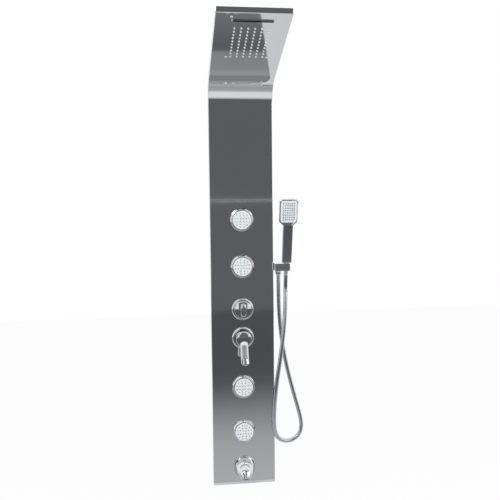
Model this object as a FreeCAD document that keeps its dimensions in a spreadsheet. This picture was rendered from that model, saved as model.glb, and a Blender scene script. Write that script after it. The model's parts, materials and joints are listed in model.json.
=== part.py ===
"""Shower panel column: a bent sheet-metal panel with a rain and waterfall head, four body jets,
a single-lever mixer, a diverter, a tub spout and a hand shower on a flexible hose.

The frame is that of the wall: Y = 0 is the wall, the panel's face looks along -Y, +Z is up and the
origin is the centre of the upper bracket's two screw holes. Heights in the sheet are measured from
the panel's bottom edge, and depths "out" are measured from the panel's face towards the bather.
"""
import FreeCAD, Part  # noqa: E401

import math
import os

import Sketcher
from FreeCAD import Placement, Rotation, Vector

SIZES = [
    # the bent sheet
    ("panel_width", 200, "width of the panel and its head"),
    ("panel_height", 1400, "bottom edge to the top of the head's lip"),
    ("panel_depth", 30, "depth of the folded side flanges"),
    ("sheet_thickness", 1.2, "stainless sheet"),
    ("wall_gap", 25, "wall to the rear edge of the flanges"),
    ("edge_rounding", 2, "outer radius of the folded long edges"),
    ("head_reach", 352, "panel face to the head's lip"),
    ("lip_height", 14, "folded lip at the tip of the head"),
    ("plate_slope", 19, "rise of the head plate above level, in degrees"),
    ("cover_slope", 16, "rise of the head's top, in degrees"),
    ("bend_radius", 57, "inside radius of the bend between panel and head"),
    ("running_gap", 0.3, "play between curved faces that move on each other"),
    # the head's fittings, placed along the plate from the tip
    ("slot_distance", 33, "tip to the middle of the waterfall slot"),
    ("slot_length", 112, "waterfall slot"),
    ("slot_width", 8.4, "waterfall slot"),
    ("mouth_wall", 1.6, "wall of the waterfall mouth"),
    ("mouth_drop", 2.5, "waterfall mouth below the plate"),
    ("nozzle_columns", 6, "rain nozzles across"),
    ("nozzle_rows", 10, "rain nozzles along the head"),
    ("nozzle_column_pitch", 18.3, "rain nozzles across"),
    ("nozzle_row_pitch", 14.8, "rain nozzles along the head"),
    ("first_row_distance", 67, "tip to the first row of rain nozzles"),
    ("nozzle_radius", 2.4, "rain nozzle at the plate"),
    ("nozzle_drop", 2.2, "rain nozzle below the plate"),
    ("nozzle_margin", 7, "mat edge round the nozzle field"),
    ("mat_thickness", 1.8, "silicone mat"),
    ("head_screw_spread", 115, "screws across the head"),
    ("head_screw_first", 18, "tip to the front pair of head screws"),
    ("head_screw_last", 203.5, "tip to the rear pair of head screws"),
    ("screw_radius", 2, "head screw shank"),
    ("screw_head_radius", 3.6, "head screw head"),
    ("screw_head_height", 1.8, "head screw head"),
    ("manifold_start", 12, "tip to the water box in the head"),
    ("manifold_end", 214, "tip to the rear of the water box"),
    ("manifold_width", 132, "water box in the head"),
    ("manifold_height", 9.5, "water box in the head"),
    ("chamber_depth", 7, "chambers in the water box"),
    ("feed_spread", 68, "distance between the rain and the waterfall feed"),
    ("cover_lip", 8, "folded edges of the head cover"),
    # body jets
    ("upper_jet_height", 855, "first jet"),
    ("second_jet_height", 708, "second jet"),
    ("third_jet_height", 321, "third jet"),
    ("lowest_jet_height", 175, "fourth jet"),
    ("jet_ring_radius", 37.5, "chrome ring of a jet"),
    ("jet_ring_straight", 2, "ring's rim before its bevel"),
    ("jet_ring_lip", 2.4, "width of the ring's front"),
    ("jet_ring_height", 9, "chrome ring of a jet"),
    ("jet_web", 1.5, "floor of the ring under the disc"),
    ("jet_disc_radius", 29.2, "white disc of a jet"),
    ("jet_pivot_out", 7.5, "centre of the disc's tilt above the panel face"),
    ("jet_disc_back", 1.5, "disc's back behind its tilt centre"),
    ("jet_disc_front", 3.4, "disc's rim before its tilt centre"),
    ("jet_seat_radius", 9.4, "swivel seat under the ball"),
    ("jet_seat_height", 2.5, "swivel seat under the disc"),
    ("jet_disc_crown", 1.2, "bevelled crown on the disc"),
    ("jet_stem_radius", 4, "stem of the disc in its seat"),
    ("jet_stem_play", 1.3, "stem in its seat"),
    ("jet_barrel_radius", 12.5, "threaded barrel of a jet"),
    ("jet_barrel_length", 22, "barrel behind the panel face"),
    ("jet_hole_play", 0.4, "barrel in the ring and in the sheet"),
    ("fitting_radius", 8, "hexagon push fittings for the pipes, across corners"),
    ("nut_radius", 19, "hexagon lock nuts, across corners"),
    ("nut_height", 6, "lock nuts"),
    ("gasket_thickness", 1.5, "rubber gaskets"),
    # water ways behind the panel
    ("service_depth", 16, "panel face to the middle of the pipes"),
    ("pipe_radius", 5.5, "supply pipes"),
    ("pipe_column", 60, "riser of the lower jets from the panel's middle"),
    ("pipe_spacing", 24, "riser of the spout from that of the lower jets"),
    ("pipe_bend", 26, "room for the bends of a pipe"),
    ("pipe_bend_radius", 60, "largest bend of a pipe"),
    ("tail_reach", 26, "hose tails of a jet from its axis"),
    # controls
    ("mixer_height", 480, "mixer axis"),
    ("diverter_height", 572, "diverter axis"),
    ("control_flange_radius", 35, "wall plates of mixer and diverter"),
    ("control_flange_height", 4.6, "wall plates of mixer and diverter"),
    ("port_radius", 24, "valve ports"),
    ("bonnet_radius", 20.5, "retaining nut over the cartridge"),
    ("cartridge_radius", 17.5, "cartridges"),
    ("cartridge_out", 17, "front of the mixer cartridge"),
    ("port_front", 6, "front of the ports behind the panel face"),
    ("body_front", 8, "cast body behind the panel face"),
    ("body_depth", 22, "cast body, front to rear"),
    ("body_width", 44, "cast body"),
    ("bonnet_height", 9, "retaining nuts of the cartridges"),
    ("carrier_height", 9, "turning carrier in the mixer cartridge"),
    ("carrier_radius", 14, "turning carrier in the mixer cartridge"),
    ("stem_width", 8, "square stem under the lever"),
    ("stem_pin_radius", 1.5, "pin that the stem tilts on"),
    ("lever_pivot_out", 13.5, "stem pin above the panel face"),
    ("lever_cap_radius", 25.5, "bell of the lever"),
    ("lever_cap_wall", 3, "bell of the lever"),
    ("lever_cap_front", 17, "front of the bell before the pin"),
    ("lever_shoulder", 5, "bevel of the bell"),
    ("lever_width", 25, "blade of the lever"),
    ("lever_thickness", 8, "blade of the lever"),
    ("lever_tip_corner", 7, "cut corners at the lever's tip"),
    ("lever_drop", 76, "lever tip below the mixer axis"),
    ("lever_tip_out", 66, "lever tip above the panel face"),
    ("knob_radius", 28, "diverter knob"),
    ("knob_start_out", 5.2, "rear of the diverter knob"),
    ("knob_height", 12, "disc of the diverter knob"),
    ("knob_bevel", 3, "bevelled edge of the knob"),
    ("grip_width", 20, "raised grip on the knob"),
    ("grip_length", 42, "raised grip on the knob"),
    ("grip_height", 12, "raised grip on the knob"),
    ("spindle_radius", 4, "diverter spindle"),
    ("inlet_spread", 68, "distance between the two supply inlets"),
    ("inlet_radius", 10.48, "half-inch male thread"),
    ("inlet_length", 14, "supply inlets behind the cast body"),
    ("nipple_reach", 38, "outlet nipples from the diverter axis"),
    # tub spout
    ("spout_height", 54, "spout axis"),
    ("spout_base_radius", 38.5, "spout base on the panel"),
    ("spout_shoulder_radius", 35.5, "hood at the base"),
    ("spout_outlet_radius", 14, "mouth of the spout"),
    ("spout_reach", 46, "mouth before the panel face"),
    ("spout_fall", 20, "mouth below the spout axis"),
    ("spout_outlet_tilt", 52, "mouth turned down, in degrees"),
    ("spout_base_thickness", 3, "round base of the spout"),
    ("spout_crest", 3, "hood's fullness halfway to its mouth"),
    ("aerator_radius", 11.5, "aerator in the spout's mouth"),
    ("aerator_depth", 7, "aerator in the spout's mouth"),
    ("aerator_recess", 1, "aerator behind the rim of the mouth"),
    ("shank_nut_radius", 16, "hexagon nuts of the shanks, across corners"),
    ("shank_radius", 10.4, "half-inch shank of spout and outlet block"),
    # outlet block and holder
    ("block_height", 22.5, "outlet block"),
    ("block_length", 48.5, "outlet block, away from the panel"),
    ("block_depth", 54, "outlet block, front to rear"),
    ("block_front", 28, "block's front before the panel face"),
    ("block_middle_height", 705.75, "middle of the block"),
    ("block_bevel", 1.5, "edges of the block"),
    ("block_washer", 1, "washer between flange and block"),
    ("outlet_x", 118.4, "hose outlet from the panel's middle"),
    ("socket_x", 138.8, "handset axis from the panel's middle"),
    ("socket_out", 12, "handset axis before the panel face, at the block's middle"),
    ("holder_tilt", 14, "handset leaning forward, in degrees"),
    ("cone_top_radius", 8.7, "hose cone at the handset"),
    ("cone_bottom_radius", 6.9, "hose cone at the hose"),
    ("cone_drop", 27, "hose cone below the block's middle"),
    ("hose_nut_radius", 10.8, "nut at the outlet"),
    ("hose_nut_length", 18, "nut at the outlet"),
    # handset, measured along its own axis from the block's middle
    ("handle_start", 15.5, "lower end of the handle"),
    ("handle_end", 140, "upper end of the handle"),
    ("handle_width", 32, "handle"),
    ("handle_depth", 21, "handle"),
    ("handle_rounding", 4, "handle edges"),
    ("spray_head_width", 57.5, "head of the handset"),
    ("spray_head_length", 75.5, "head of the handset"),
    ("spray_head_depth", 15, "head of the handset"),
    ("spray_head_rounding", 8, "corners of the head"),
    ("neck_length", 5, "neck between handle and head"),
    ("face_margin", 3.2, "chrome rim round the white face"),
    ("face_recess", 2, "thickness of the white face"),
    ("face_crown", 0.4, "white face before the chrome rim"),
    ("spray_columns", 6, "handset nozzles across"),
    ("spray_rows", 8, "handset nozzles along"),
    ("spray_column_pitch", 6.7, "handset nozzles across"),
    ("spray_row_pitch", 7.3, "handset nozzles along"),
    ("spray_nozzle_radius", 1.1, "handset nozzle"),
    ("spray_nozzle_height", 0.8, "handset nozzle"),
    # hose
    ("hose_radius", 6.75, "outer radius of the metal hose"),
    # wall fixing
    ("upper_bracket_height", 1130, "upper bracket"),
    ("lower_bracket_height", 248, "lower bracket"),
    ("bracket_width", 140, "wall brackets"),
    ("bracket_height", 40, "wall brackets"),
    ("bracket_sheet", 2, "wall brackets and hanger bars"),
    ("bracket_reach", 22, "wall to the bracket's tongue"),
    ("tongue_height", 14, "bracket tongue above its shelf"),
    ("wall_screw_spread", 100, "screw holes of a bracket"),
    ("wall_screw_radius", 2.75, "screw holes of a bracket"),
    ("hanger_height", 34, "hanger bar on the panel"),
]

# Route of the free hose from the outlet's nut to the handset's cone:
# distance from the panel's middle, depth before (-) or behind (+) the panel face, height.
HOSE_ROUTE = [
    (118.2, 16.0, 618), (120.2, 15.6, 548), (126.4, 15.0, 474), (140.2, 14.0, 390),
    (161.5, 12.6, 303), (177.5, 11.2, 245), (187.0, 9.6, 208), (190.5, 7.6, 175),
    (179.8, 5.4, 149), (156.1, 2.8, 133.9), (128.0, -1.0, 135.1), (105.7, -6.2, 152.2),
    (97.3, -10.8, 179), (95.8, -13.4, 222), (98.6, -14.8, 275), (107.0, -15.4, 345),
    (117.6, -15.2, 412), (127.0, -13.2, 480), (133.4, -9.6, 540), (137.4, -4.6, 594),
]

JETS = [
    ("jet_1", "upper_jet_height", (-1,)),
    ("jet_2", "second_jet_height", (-1, 1)),
    ("jet_3", "third_jet_height", (-1, 1)),
    ("jet_4", "lowest_jet_height", (1,)),
]

NIPPLE_ANGLES = {"jets_up": 90, "rain": 128, "waterfall": 52, "handset": 0, "jets_down": 217, "spout": 180}

HOSE_STEP = 20  # turn between two rings of the hose, in degrees
PIPE_SIDES = 8
PIPE_STEP = 45  # turn between two rings of a pipe, in degrees
SMALL = 12  # sides of small or hidden round pieces, which keeps them light
ROUND = 24  # sides of larger hidden ones
RIM = 48  # sides of round rims that show

FINE = 1e-6
CLEAR = 10  # how far a cutting shape runs past what it cuts

doc = FreeCAD.newDocument("shower_panel_column")
sheet = doc.addObject("Spreadsheet::Sheet", "Sizes")
NODES = []


class Size:
    """A number together with the sheet expression that gives it."""

    def __init__(self, value, text):
        self.value = float(value)
        self.text = text

    def _join(self, other, sign, value):
        return Size(value, f"({self.text} {sign} {lift(other).text})")

    def __add__(self, other):
        return self._join(other, "+", self.value + lift(other).value)

    def __sub__(self, other):
        return self._join(other, "-", self.value - lift(other).value)

    def __mul__(self, other):
        return self._join(other, "*", self.value * lift(other).value)

    def __truediv__(self, other):
        return self._join(other, "/", self.value / lift(other).value)

    def __radd__(self, other):
        return lift(other) + self

    def __rsub__(self, other):
        return lift(other) - self

    def __rmul__(self, other):
        return lift(other) * self

    def __neg__(self):
        return Size(-self.value, f"(0 - {self.text})")


def lift(number):
    """A Size as it is, or a plain number as a Size."""
    if isinstance(number, Size):
        return number
    return Size(number, repr(number))


def sine(angle):
    return Size(math.sin(math.radians(lift(angle).value)), f"sin({lift(angle).text})")


def cosine(angle):
    return Size(math.cos(math.radians(lift(angle).value)), f"cos({lift(angle).text})")


def tangent(angle):
    return Size(math.tan(math.radians(lift(angle).value)), f"tan({lift(angle).text})")


def root(square):
    return Size(math.sqrt(square.value), f"sqrt({square.text})")


def fill_sheet():
    """Write the driving dimensions, with their names and notes, into the sheet."""
    for row, (alias, value, note) in enumerate(SIZES, start=1):
        sheet.set(f"A{row}", alias)
        sheet.set(f"B{row}", str(value))
        sheet.set(f"C{row}", note)
        sheet.setAlias(f"B{row}", alias)
    doc.recompute()


def size(alias):
    """A driving dimension by its name."""
    return Size(getattr(sheet, alias), f"Sizes.{alias}")


def count(alias):
    return int(getattr(sheet, alias))


fill_sheet()

THICK = size("sheet_thickness")
WIDTH = size("panel_width")
FACE = size("panel_depth") + size("wall_gap")  # wall to panel face
SLOPE = size("plate_slope")
GAP = size("running_gap")
TIP_HEIGHT = size("panel_height") - size("lip_height")
SERVICE = size("service_depth")


# ---------------------------------------------------------------- drawing helpers

def bind(thing, **sizes):
    """Set properties to sizes and keep them bound to the sheet."""
    for name, wanted in sizes.items():
        wanted = lift(wanted)
        whole = isinstance(getattr(thing, name), int)
        setattr(thing, name, int(wanted.value) if whole else wanted.value)
        thing.setExpression(name, wanted.text)


def place(thing, x, out, height, turn=None, axis=Vector(1, 0, 0)):
    """Put a piece at x from the panel's middle, so far out of its face and so high above its bottom."""
    base = (lift(x), -(FACE + out), height - size("upper_bracket_height"))
    angle = lift(0 if turn is None else turn)
    thing.Placement = Placement(Vector(*[b.value for b in base]), Rotation(axis, angle.value))
    for name, wanted in zip(("x", "y", "z"), base):
        thing.setExpression(f"Placement.Base.{name}", wanted.text)
    if turn is not None:
        thing.setExpression("Placement.Rotation.Angle", angle.text)


def place_on_head(thing, x, along, lifted, slope=SLOPE):
    """Put a piece on the head: along the plate from its tip, and lifted off the visible side."""
    out = size("head_reach") - along * cosine(slope) - lifted * sine(slope)
    height = TIP_HEIGHT - along * sine(slope) + lifted * cosine(slope)
    place(thing, x, out, height, turn=-slope)


def node(thing, name):
    """Name a finished sub-part, so that it is written to its own file."""
    thing.Label = name
    NODES.append(thing)
    return thing


def new_body(name):
    return doc.addObject("PartDesign::Body", f"{name}_form")


def new_sketch(body, role="XY_Plane", shift=None, turn=None, turn_axis=Vector(1, 0, 0)):
    """A sketch on one of the body's own planes, shifted in the plane's own axes and turned."""
    sketch = body.newObject("Sketcher::SketchObject", "sketch")
    plane = [feature for feature in body.Origin.OriginFeatures if feature.Role == role][0]
    sketch.AttachmentSupport = [(plane, "")]
    sketch.MapMode = "FlatFace"
    shift = [lift(s) for s in (shift or (0, 0, 0))]
    angle = lift(turn or 0)
    sketch.AttachmentOffset = Placement(Vector(*[s.value for s in shift]), Rotation(turn_axis, angle.value))
    for name, wanted in zip(("x", "y", "z"), shift):
        sketch.setExpression(f"AttachmentOffset.Base.{name}", wanted.text)
    if turn is not None:
        sketch.setExpression("AttachmentOffset.Rotation.Angle", angle.text)
    return sketch


def pin_point(sketch, index, end, x, y):
    """Hold one point of a sketch at sizes from the sketch's origin."""
    for kind, wanted in (("DistanceX", lift(x)), ("DistanceY", lift(y))):
        number = sketch.addConstraint(Sketcher.Constraint(kind, -1, 1, index, end, wanted.value))
        sketch.setExpression(f"Constraints[{number}]", wanted.text)


def outline(sketch, corners):
    """Draw a closed outline. A corner is (x, y), or (x, y, centre_x, centre_y, radius) where an
    arc of less than half a turn leads to the next corner."""
    points = [Vector(lift(c[0]).value, lift(c[1]).value, 0) for c in corners]
    sides = []
    for index, corner in enumerate(corners):
        start, end = points[index], points[(index + 1) % len(points)]
        curve = Part.LineSegment(start, end)
        if len(corner) > 2:
            centre = Vector(lift(corner[2]).value, lift(corner[3]).value, 0)
            towards = ((start + end) * 0.5 - centre).normalize()
            curve = Part.Arc(start, centre + towards * lift(corner[4]).value, end)
        number = sketch.addGeometry(curve)
        forward = sketch.getPoint(number, 1).distanceToPoint(start) < FINE
        sides.append((number, 1 if forward else 2, 2 if forward else 1))
    for index, (number, _, last) in enumerate(sides):
        following, first, _ = sides[(index + 1) % len(sides)]
        sketch.addConstraint(Sketcher.Constraint("Coincident", number, last, following, first))
    for (number, first, _), corner in zip(sides, corners):
        pin_point(sketch, number, first, corner[0], corner[1])
        if len(corner) > 2:
            radius = lift(corner[4])
            constraint = sketch.addConstraint(Sketcher.Constraint("Radius", number, radius.value))
            sketch.setExpression(f"Constraints[{constraint}]", radius.text)
    return sketch


def circle(sketch, x, y, radius):
    centre = Vector(lift(x).value, lift(y).value, 0)
    number = sketch.addGeometry(Part.Circle(centre, Vector(0, 0, 1), lift(radius).value))
    pin_point(sketch, number, 3, x, y)
    constraint = sketch.addConstraint(Sketcher.Constraint("Radius", number, lift(radius).value))
    sketch.setExpression(f"Constraints[{constraint}]", lift(radius).text)
    return sketch


def rectangle(sketch, left, low, right, high):
    return outline(sketch, [(left, low), (right, low), (right, high), (left, high)])


def rounded_rectangle(sketch, x, y, width, height, corner):
    """A rectangle round (x, y) whose corners are quarter arcs."""
    left, right = x - width / 2, x + width / 2
    low, high = y - height / 2, y + height / 2
    return outline(sketch, [
        (left + corner, low),
        (right - corner, low, right - corner, low + corner, corner),
        (right, low + corner),
        (right, high - corner, right - corner, high - corner, corner),
        (right - corner, high),
        (left + corner, high, left + corner, high - corner, corner),
        (left, high - corner),
        (left, low + corner, left + corner, low + corner, corner),
    ])


def polygon(sketch, x, y, radius, sides=6, first_angle=0):
    """A regular outline whose corners lie on a circle; small round things are drawn this way."""
    corners = []
    for step in range(sides):
        angle = math.radians(first_angle + 360 / sides * step)
        corners.append((x + radius * math.cos(angle), y + radius * math.sin(angle)))
    return outline(sketch, corners)


def eight_sided(sketch, x, y, width, height, corner):
    """A rectangle round (x, y) whose corners are cut off."""
    left, right = x - width / 2, x + width / 2
    low, high = y - height / 2, y + height / 2
    return outline(sketch, [
        (left + corner, low), (right - corner, low), (right, low + corner), (right, high - corner),
        (right - corner, high), (left + corner, high), (left, high - corner), (left, low + corner),
    ])


def loft(body, sections, name):
    """A solid between outlines, with straight edges from each corner to the next outline's."""
    thing = body.newObject("PartDesign::AdditiveLoft", name)
    thing.Profile = sections[0]
    thing.Sections = sections[1:]
    thing.Ruled = True
    return thing


def bevelled_round(body, radius, start, top, bevel, sides):
    """A round block from start whose top edge is bevelled."""
    block = pad(body, polygon(new_sketch(body, "XZ_Plane", (0, 0, start)), lift(0), lift(0), radius, sides), top)
    level = -(start + top).value
    bevel_edges(body, block, lambda point: abs(point.y - level) < FINE, bevel)


def slot_outline(sketch, y, length, width):
    """A slot along X with round ends, each end two quarter arcs."""
    reach = length / 2 - width / 2
    half = width / 2
    return outline(sketch, [
        (-reach, y - half),
        (reach, y - half, reach, y, half),
        (reach + half, y, reach, y, half),
        (reach, y + half),
        (-reach, y + half, -reach, y, half),
        (-(reach + half), y, -reach, y, half),
    ])


def pad(body, sketch, length, both_ways=False, backwards=False, taper=None):
    feature = body.newObject("PartDesign::Pad", "pad")
    feature.Profile = sketch
    feature.SideType = "Symmetric" if both_ways else "One side"
    feature.Reversed = backwards
    bind(feature, Length=length)
    if taper is not None:
        bind(feature, TaperAngle=taper)
    return feature


def pocket(body, sketch, length, both_ways=False, backwards=False):
    feature = body.newObject("PartDesign::Pocket", "pocket")
    feature.Profile = sketch
    feature.SideType = "Symmetric" if both_ways else "One side"
    feature.Reversed = backwards
    bind(feature, Length=length)
    return feature


def revolve(body, sketch):
    """Turn a profile, drawn as (radius, height along the axis), round the sketch's vertical axis."""
    feature = body.newObject("PartDesign::Revolution", "revolution")
    feature.Profile = sketch
    feature.ReferenceAxis = (sketch, ["V_Axis"])
    feature.Angle = 360
    return feature


def groove(body, sketch):
    feature = body.newObject("PartDesign::Groove", "groove")
    feature.Profile = sketch
    feature.ReferenceAxis = (sketch, ["V_Axis"])
    feature.Angle = 360
    return feature


def grid(body, sketch, feature, columns, column_pitch, rows, row_pitch):
    """Repeat a feature along both axes of its sketch."""
    pattern = body.newObject("PartDesign::MultiTransform", "grid")
    pattern.Originals = [feature]
    steps = []
    for axis, number, pitch in (("H_Axis", columns, column_pitch), ("V_Axis", rows, row_pitch)):
        step = doc.addObject("PartDesign::LinearPattern", "step")
        step.Direction = (sketch, [axis])
        bind(step, Length=pitch * (number - 1), Occurrences=number)
        steps.append(step)
    pattern.Transformations = steps
    body.Tip = pattern
    return pattern


def edges_where(shape, test):
    """Names of the edges whose every vertex passes a test."""
    names = []
    for number, edge in enumerate(shape.Edges, start=1):
        if all(test(vertex.Point) for vertex in edge.Vertexes):
            names.append(f"Edge{number}")
    return names


def bevel_edges(body, base, test, width):
    doc.recompute()
    feature = body.newObject("PartDesign::Chamfer", "bevel")
    feature.Base = (base, edges_where(base.Shape, test))
    bind(feature, Size=width)
    return feature


def out_profile(profile):
    """Turn corners given as (radius, out) into sketch corners: out runs along -Y."""
    return [(c[0], -c[1]) + ((c[2], -c[3], c[4]) if len(c) > 2 else ()) for c in profile]


def turned(name, profile):
    """A piece turned round an axis that points out of the panel: corners are (radius, out)."""
    body = new_body(name)
    revolve(body, outline(new_sketch(body), out_profile([tuple(map(lift, c)) for c in profile])))
    return body


def turned_upright(name, profile):
    """A piece turned round its own vertical axis: corners are (radius, height)."""
    body = new_body(name)
    revolve(body, outline(new_sketch(body, "XZ_Plane"), profile))
    return body


def cylinder(radius, length, x, out, height, direction):
    """A cylinder that starts at a place and runs along a direction of the panel's frame."""
    thing = doc.addObject("Part::Cylinder", "cylinder")
    bind(thing, Radius=radius, Height=length)
    place(thing, x, lift(out), height)
    turn = Rotation(Vector(0, 0, 1), direction)
    thing.Placement = Placement(thing.Placement.Base, turn)
    return thing


def prism(sides, radius, length, x, out, height, direction=Vector(0, -1, 0)):
    """A many-sided bar that starts at a place and runs along a direction, by default out of the panel."""
    thing = doc.addObject("Part::Prism", "prism")
    thing.Polygon = sides
    bind(thing, Circumradius=radius, Height=length)
    place(thing, x, lift(out), height)
    thing.Placement = Placement(thing.Placement.Base, Rotation(Vector(0, 0, 1), direction))
    return thing


def fused(pieces):
    thing = doc.addObject("Part::MultiFuse", "fused")
    thing.Shapes = pieces
    return thing


def cut(base, tools):
    thing = doc.addObject("Part::Cut", "cut")
    thing.Base = base
    thing.Tool = tools[0] if len(tools) == 1 else fused(tools)
    return thing


def together(name, pieces):
    """Several equal solids that share one node."""
    thing = doc.addObject("Part::Compound", "group")
    thing.Links = pieces
    return node(thing, name)


# ---------------------------------------------------------------- the bent sheet

def bend_tangent(radius, slope):
    """From the corner of two straight stretches to where their bend starts."""
    return radius * tangent((90 - slope) / 2)


def panel_shell():
    """The panel and its head: one sheet, bent forward, with folded flanges and a lip at the tip."""
    body = new_body("panel_shell")
    radius, reach, depth = size("bend_radius"), size("head_reach"), size("panel_depth")
    corner = TIP_HEIGHT - reach * tangent(SLOPE)
    bend_start = corner - bend_tangent(radius, SLOPE)

    def on_bend(distance):
        return (-radius + distance * sine(SLOPE), bend_start + distance * cosine(SLOPE))

    rear_slope = size("cover_slope")
    rear_radius = radius + depth
    rear_corner = size("panel_height") - (reach + depth) * tangent(rear_slope)
    rear_tangent = bend_tangent(rear_radius, rear_slope)
    side = [
        (0, 0),
        (0, bend_start, -radius, bend_start, radius),
        on_bend(radius),
        (-reach, TIP_HEIGHT),
        (-reach, size("panel_height")),
        (depth - rear_tangent * cosine(rear_slope), rear_corner + rear_tangent * sine(rear_slope),
         depth - rear_radius, rear_corner - rear_tangent, rear_radius),
        (depth, rear_corner - rear_tangent),
        (depth, 0),
    ]
    whole = pad(body, outline(new_sketch(body, "YZ_Plane"), side), WIDTH, both_ways=True)
    front = [Vector(0, 0, 0), Vector(0, 0, bend_start.value)]
    front += [Vector(0, p[0].value, p[1].value) for p in (on_bend(radius), (-reach, TIP_HEIGHT))]

    def on_front(point):
        flat = Vector(0, point.y, point.z)
        return abs(point.x) > FINE and any(flat.distanceToPoint(f) < FINE for f in front)

    def is_side(name, shape):
        ends = shape.getElement(name).Vertexes
        return ends[0].Point.x * ends[-1].Point.x > 0

    doc.recompute()
    fillet = body.newObject("PartDesign::Fillet", "folded_edges")
    names = [n for n in edges_where(whole.Shape, on_front) if is_side(n, whole.Shape)]
    fillet.Base = (whole, names)
    bind(fillet, Radius=size("edge_rounding"))
    inner = radius + THICK
    lip_floor = TIP_HEIGHT + THICK * cosine(SLOPE) - THICK * (1 - sine(SLOPE)) * tangent(SLOPE)
    above, behind = size("panel_height") + CLEAR, depth + CLEAR
    hollow = [
        (THICK, THICK),
        (THICK, bend_start, -radius, bend_start, inner),
        on_bend(inner),
        (-reach + THICK, lip_floor),
        (-reach + THICK, above),
        (behind, above),
        (behind, THICK),
    ]
    pocket(body, outline(new_sketch(body, "YZ_Plane"), hollow), WIDTH - 2 * THICK, both_ways=True)
    front_holes(body)
    side_hole(body)
    head_holes(body)
    place(body, 0, lift(0), lift(0))
    return node(body, "panel_shell")


def front_holes(body):
    """Round holes in the panel's face for jets, controls and spout."""
    sketch = new_sketch(body, "XZ_Plane")
    for _, height, _ in JETS:
        polygon(sketch, lift(0), size(height), size("jet_barrel_radius") + 2 * size("jet_hole_play"), SMALL)
    for height in ("mixer_height", "diverter_height"):
        polygon(sketch, lift(0), size(height), over_corners(size("bonnet_radius") + GAP, ROUND), ROUND)
    polygon(sketch, lift(0), size("spout_height"), over_corners(size("shank_radius") + GAP, SMALL), SMALL)
    pocket(body, sketch, 2 * THICK)


def side_hole(body):
    """The hole in the right flange for the outlet block's shank."""
    sketch = new_sketch(body, "YZ_Plane")
    across = over_corners(size("shank_radius") + GAP, SMALL)
    polygon(sketch, SERVICE, size("block_middle_height"), across, SMALL)
    pocket(body, sketch, WIDTH / 2 + CLEAR, backwards=True)


def head_holes(body):
    """The waterfall slot, the screw holes and the nozzle holes in the head plate.

    The nozzle holes are drawn four-sided, which keeps the plate light.
    """
    at_tip = (0, -size("head_reach"), TIP_HEIGHT)
    sketch = new_sketch(body, "XY_Plane", at_tip, -SLOPE)
    slot_outline(sketch, size("slot_distance"), size("slot_length"), size("slot_width"))
    pocket(body, sketch, 3 * THICK, both_ways=True)
    screws = new_sketch(body, "XY_Plane", at_tip, -SLOPE)
    for x, along in head_screw_places():
        polygon(screws, x, along, size("screw_radius") + GAP)
    pocket(body, screws, 3 * THICK, both_ways=True)
    nozzle = new_sketch(body, "XY_Plane", at_tip, -SLOPE)
    polygon(nozzle, *first_nozzle(), size("nozzle_radius") + GAP, 4)
    hole = pocket(body, nozzle, 3 * THICK, both_ways=True)
    nozzle_grid(body, nozzle, hole)


def head_screw_places():
    """Where the four head screws sit: from the middle, and along the plate from its tip."""
    half = size("head_screw_spread") / 2
    return [(side * half, along) for along in (size("head_screw_first"), size("head_screw_last")) for side in (-1, 1)]


def first_nozzle():
    across = (size("nozzle_columns") - 1) * size("nozzle_column_pitch")
    return -across / 2, size("first_row_distance")


def nozzle_grid(body, sketch, feature):
    grid(body, sketch, feature, size("nozzle_columns"), size("nozzle_column_pitch"),
         size("nozzle_rows"), size("nozzle_row_pitch"))


# ---------------------------------------------------------------- the head's fittings

def head_cover():
    """The shallow tray that closes the head from above."""
    body = new_body("head_cover")
    slope = size("cover_slope")
    half = WIDTH / 2 - THICK - GAP
    sketch = new_sketch(body, "XZ_Plane")
    outline(sketch, [
        (-half, -size("cover_lip")), (-half + THICK, -size("cover_lip")), (-half + THICK, -THICK),
        (half - THICK, -THICK), (half - THICK, -size("cover_lip")), (half, -size("cover_lip")),
        (half, 0), (-half, 0),
    ])
    radius = size("bend_radius") + size("panel_depth")
    straight = (size("head_reach") + size("panel_depth")) / cosine(slope) - bend_tangent(radius, slope)
    start = 2 * THICK
    pad(body, sketch, straight - start, backwards=True)
    out = size("head_reach") - start * cosine(slope)
    place(body, 0, out, size("panel_height") - start * sine(slope), turn=-slope)
    return node(body, "head_cover")


def head_manifold():
    """The flat water box on the plate, with a rain chamber, a waterfall chamber and two hose tails."""
    body = new_body("head_manifold")
    start, end = size("manifold_start"), size("manifold_end")
    half = size("manifold_width") / 2
    height = size("manifold_height")
    pad(body, rectangle(new_sketch(body), -half, start, half, end), height)
    field_start, field_end, field_half = nozzle_field()
    chamber = rectangle(new_sketch(body), -field_half - GAP, field_start - GAP, field_half + GAP, field_end + GAP)
    pocket(body, chamber, size("chamber_depth"), backwards=True)
    slot_half = size("slot_width")
    waterfall = rectangle(new_sketch(body), -size("slot_length") / 2 - GAP, size("slot_distance") - slot_half,
                          size("slot_length") / 2 + GAP, size("slot_distance") + slot_half)
    pocket(body, waterfall, size("chamber_depth"), backwards=True)
    screws = new_sketch(body)
    for x, along in head_screw_places():
        polygon(screws, x, along, size("screw_radius"))
    pocket(body, screws, size("manifold_height") - THICK, backwards=True)
    tails = new_sketch(body, "XZ_Plane", (0, 0, -end))
    for side in (-1, 1):
        polygon(tails, side * size("feed_spread") / 2, feed_lift(), height / 2)
    pad(body, tails, height, backwards=True)
    place_on_head(body, 0, lift(0), THICK)
    return node(body, "head_manifold")


def nozzle_field():
    """The mat's edges: along the plate from the tip, and half its width."""
    margin = size("nozzle_margin")
    start = size("first_row_distance") - margin
    end = size("first_row_distance") + (size("nozzle_rows") - 1) * size("nozzle_row_pitch") + margin
    half = (size("nozzle_columns") - 1) * size("nozzle_column_pitch") / 2 + margin
    return start, end, half


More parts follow.
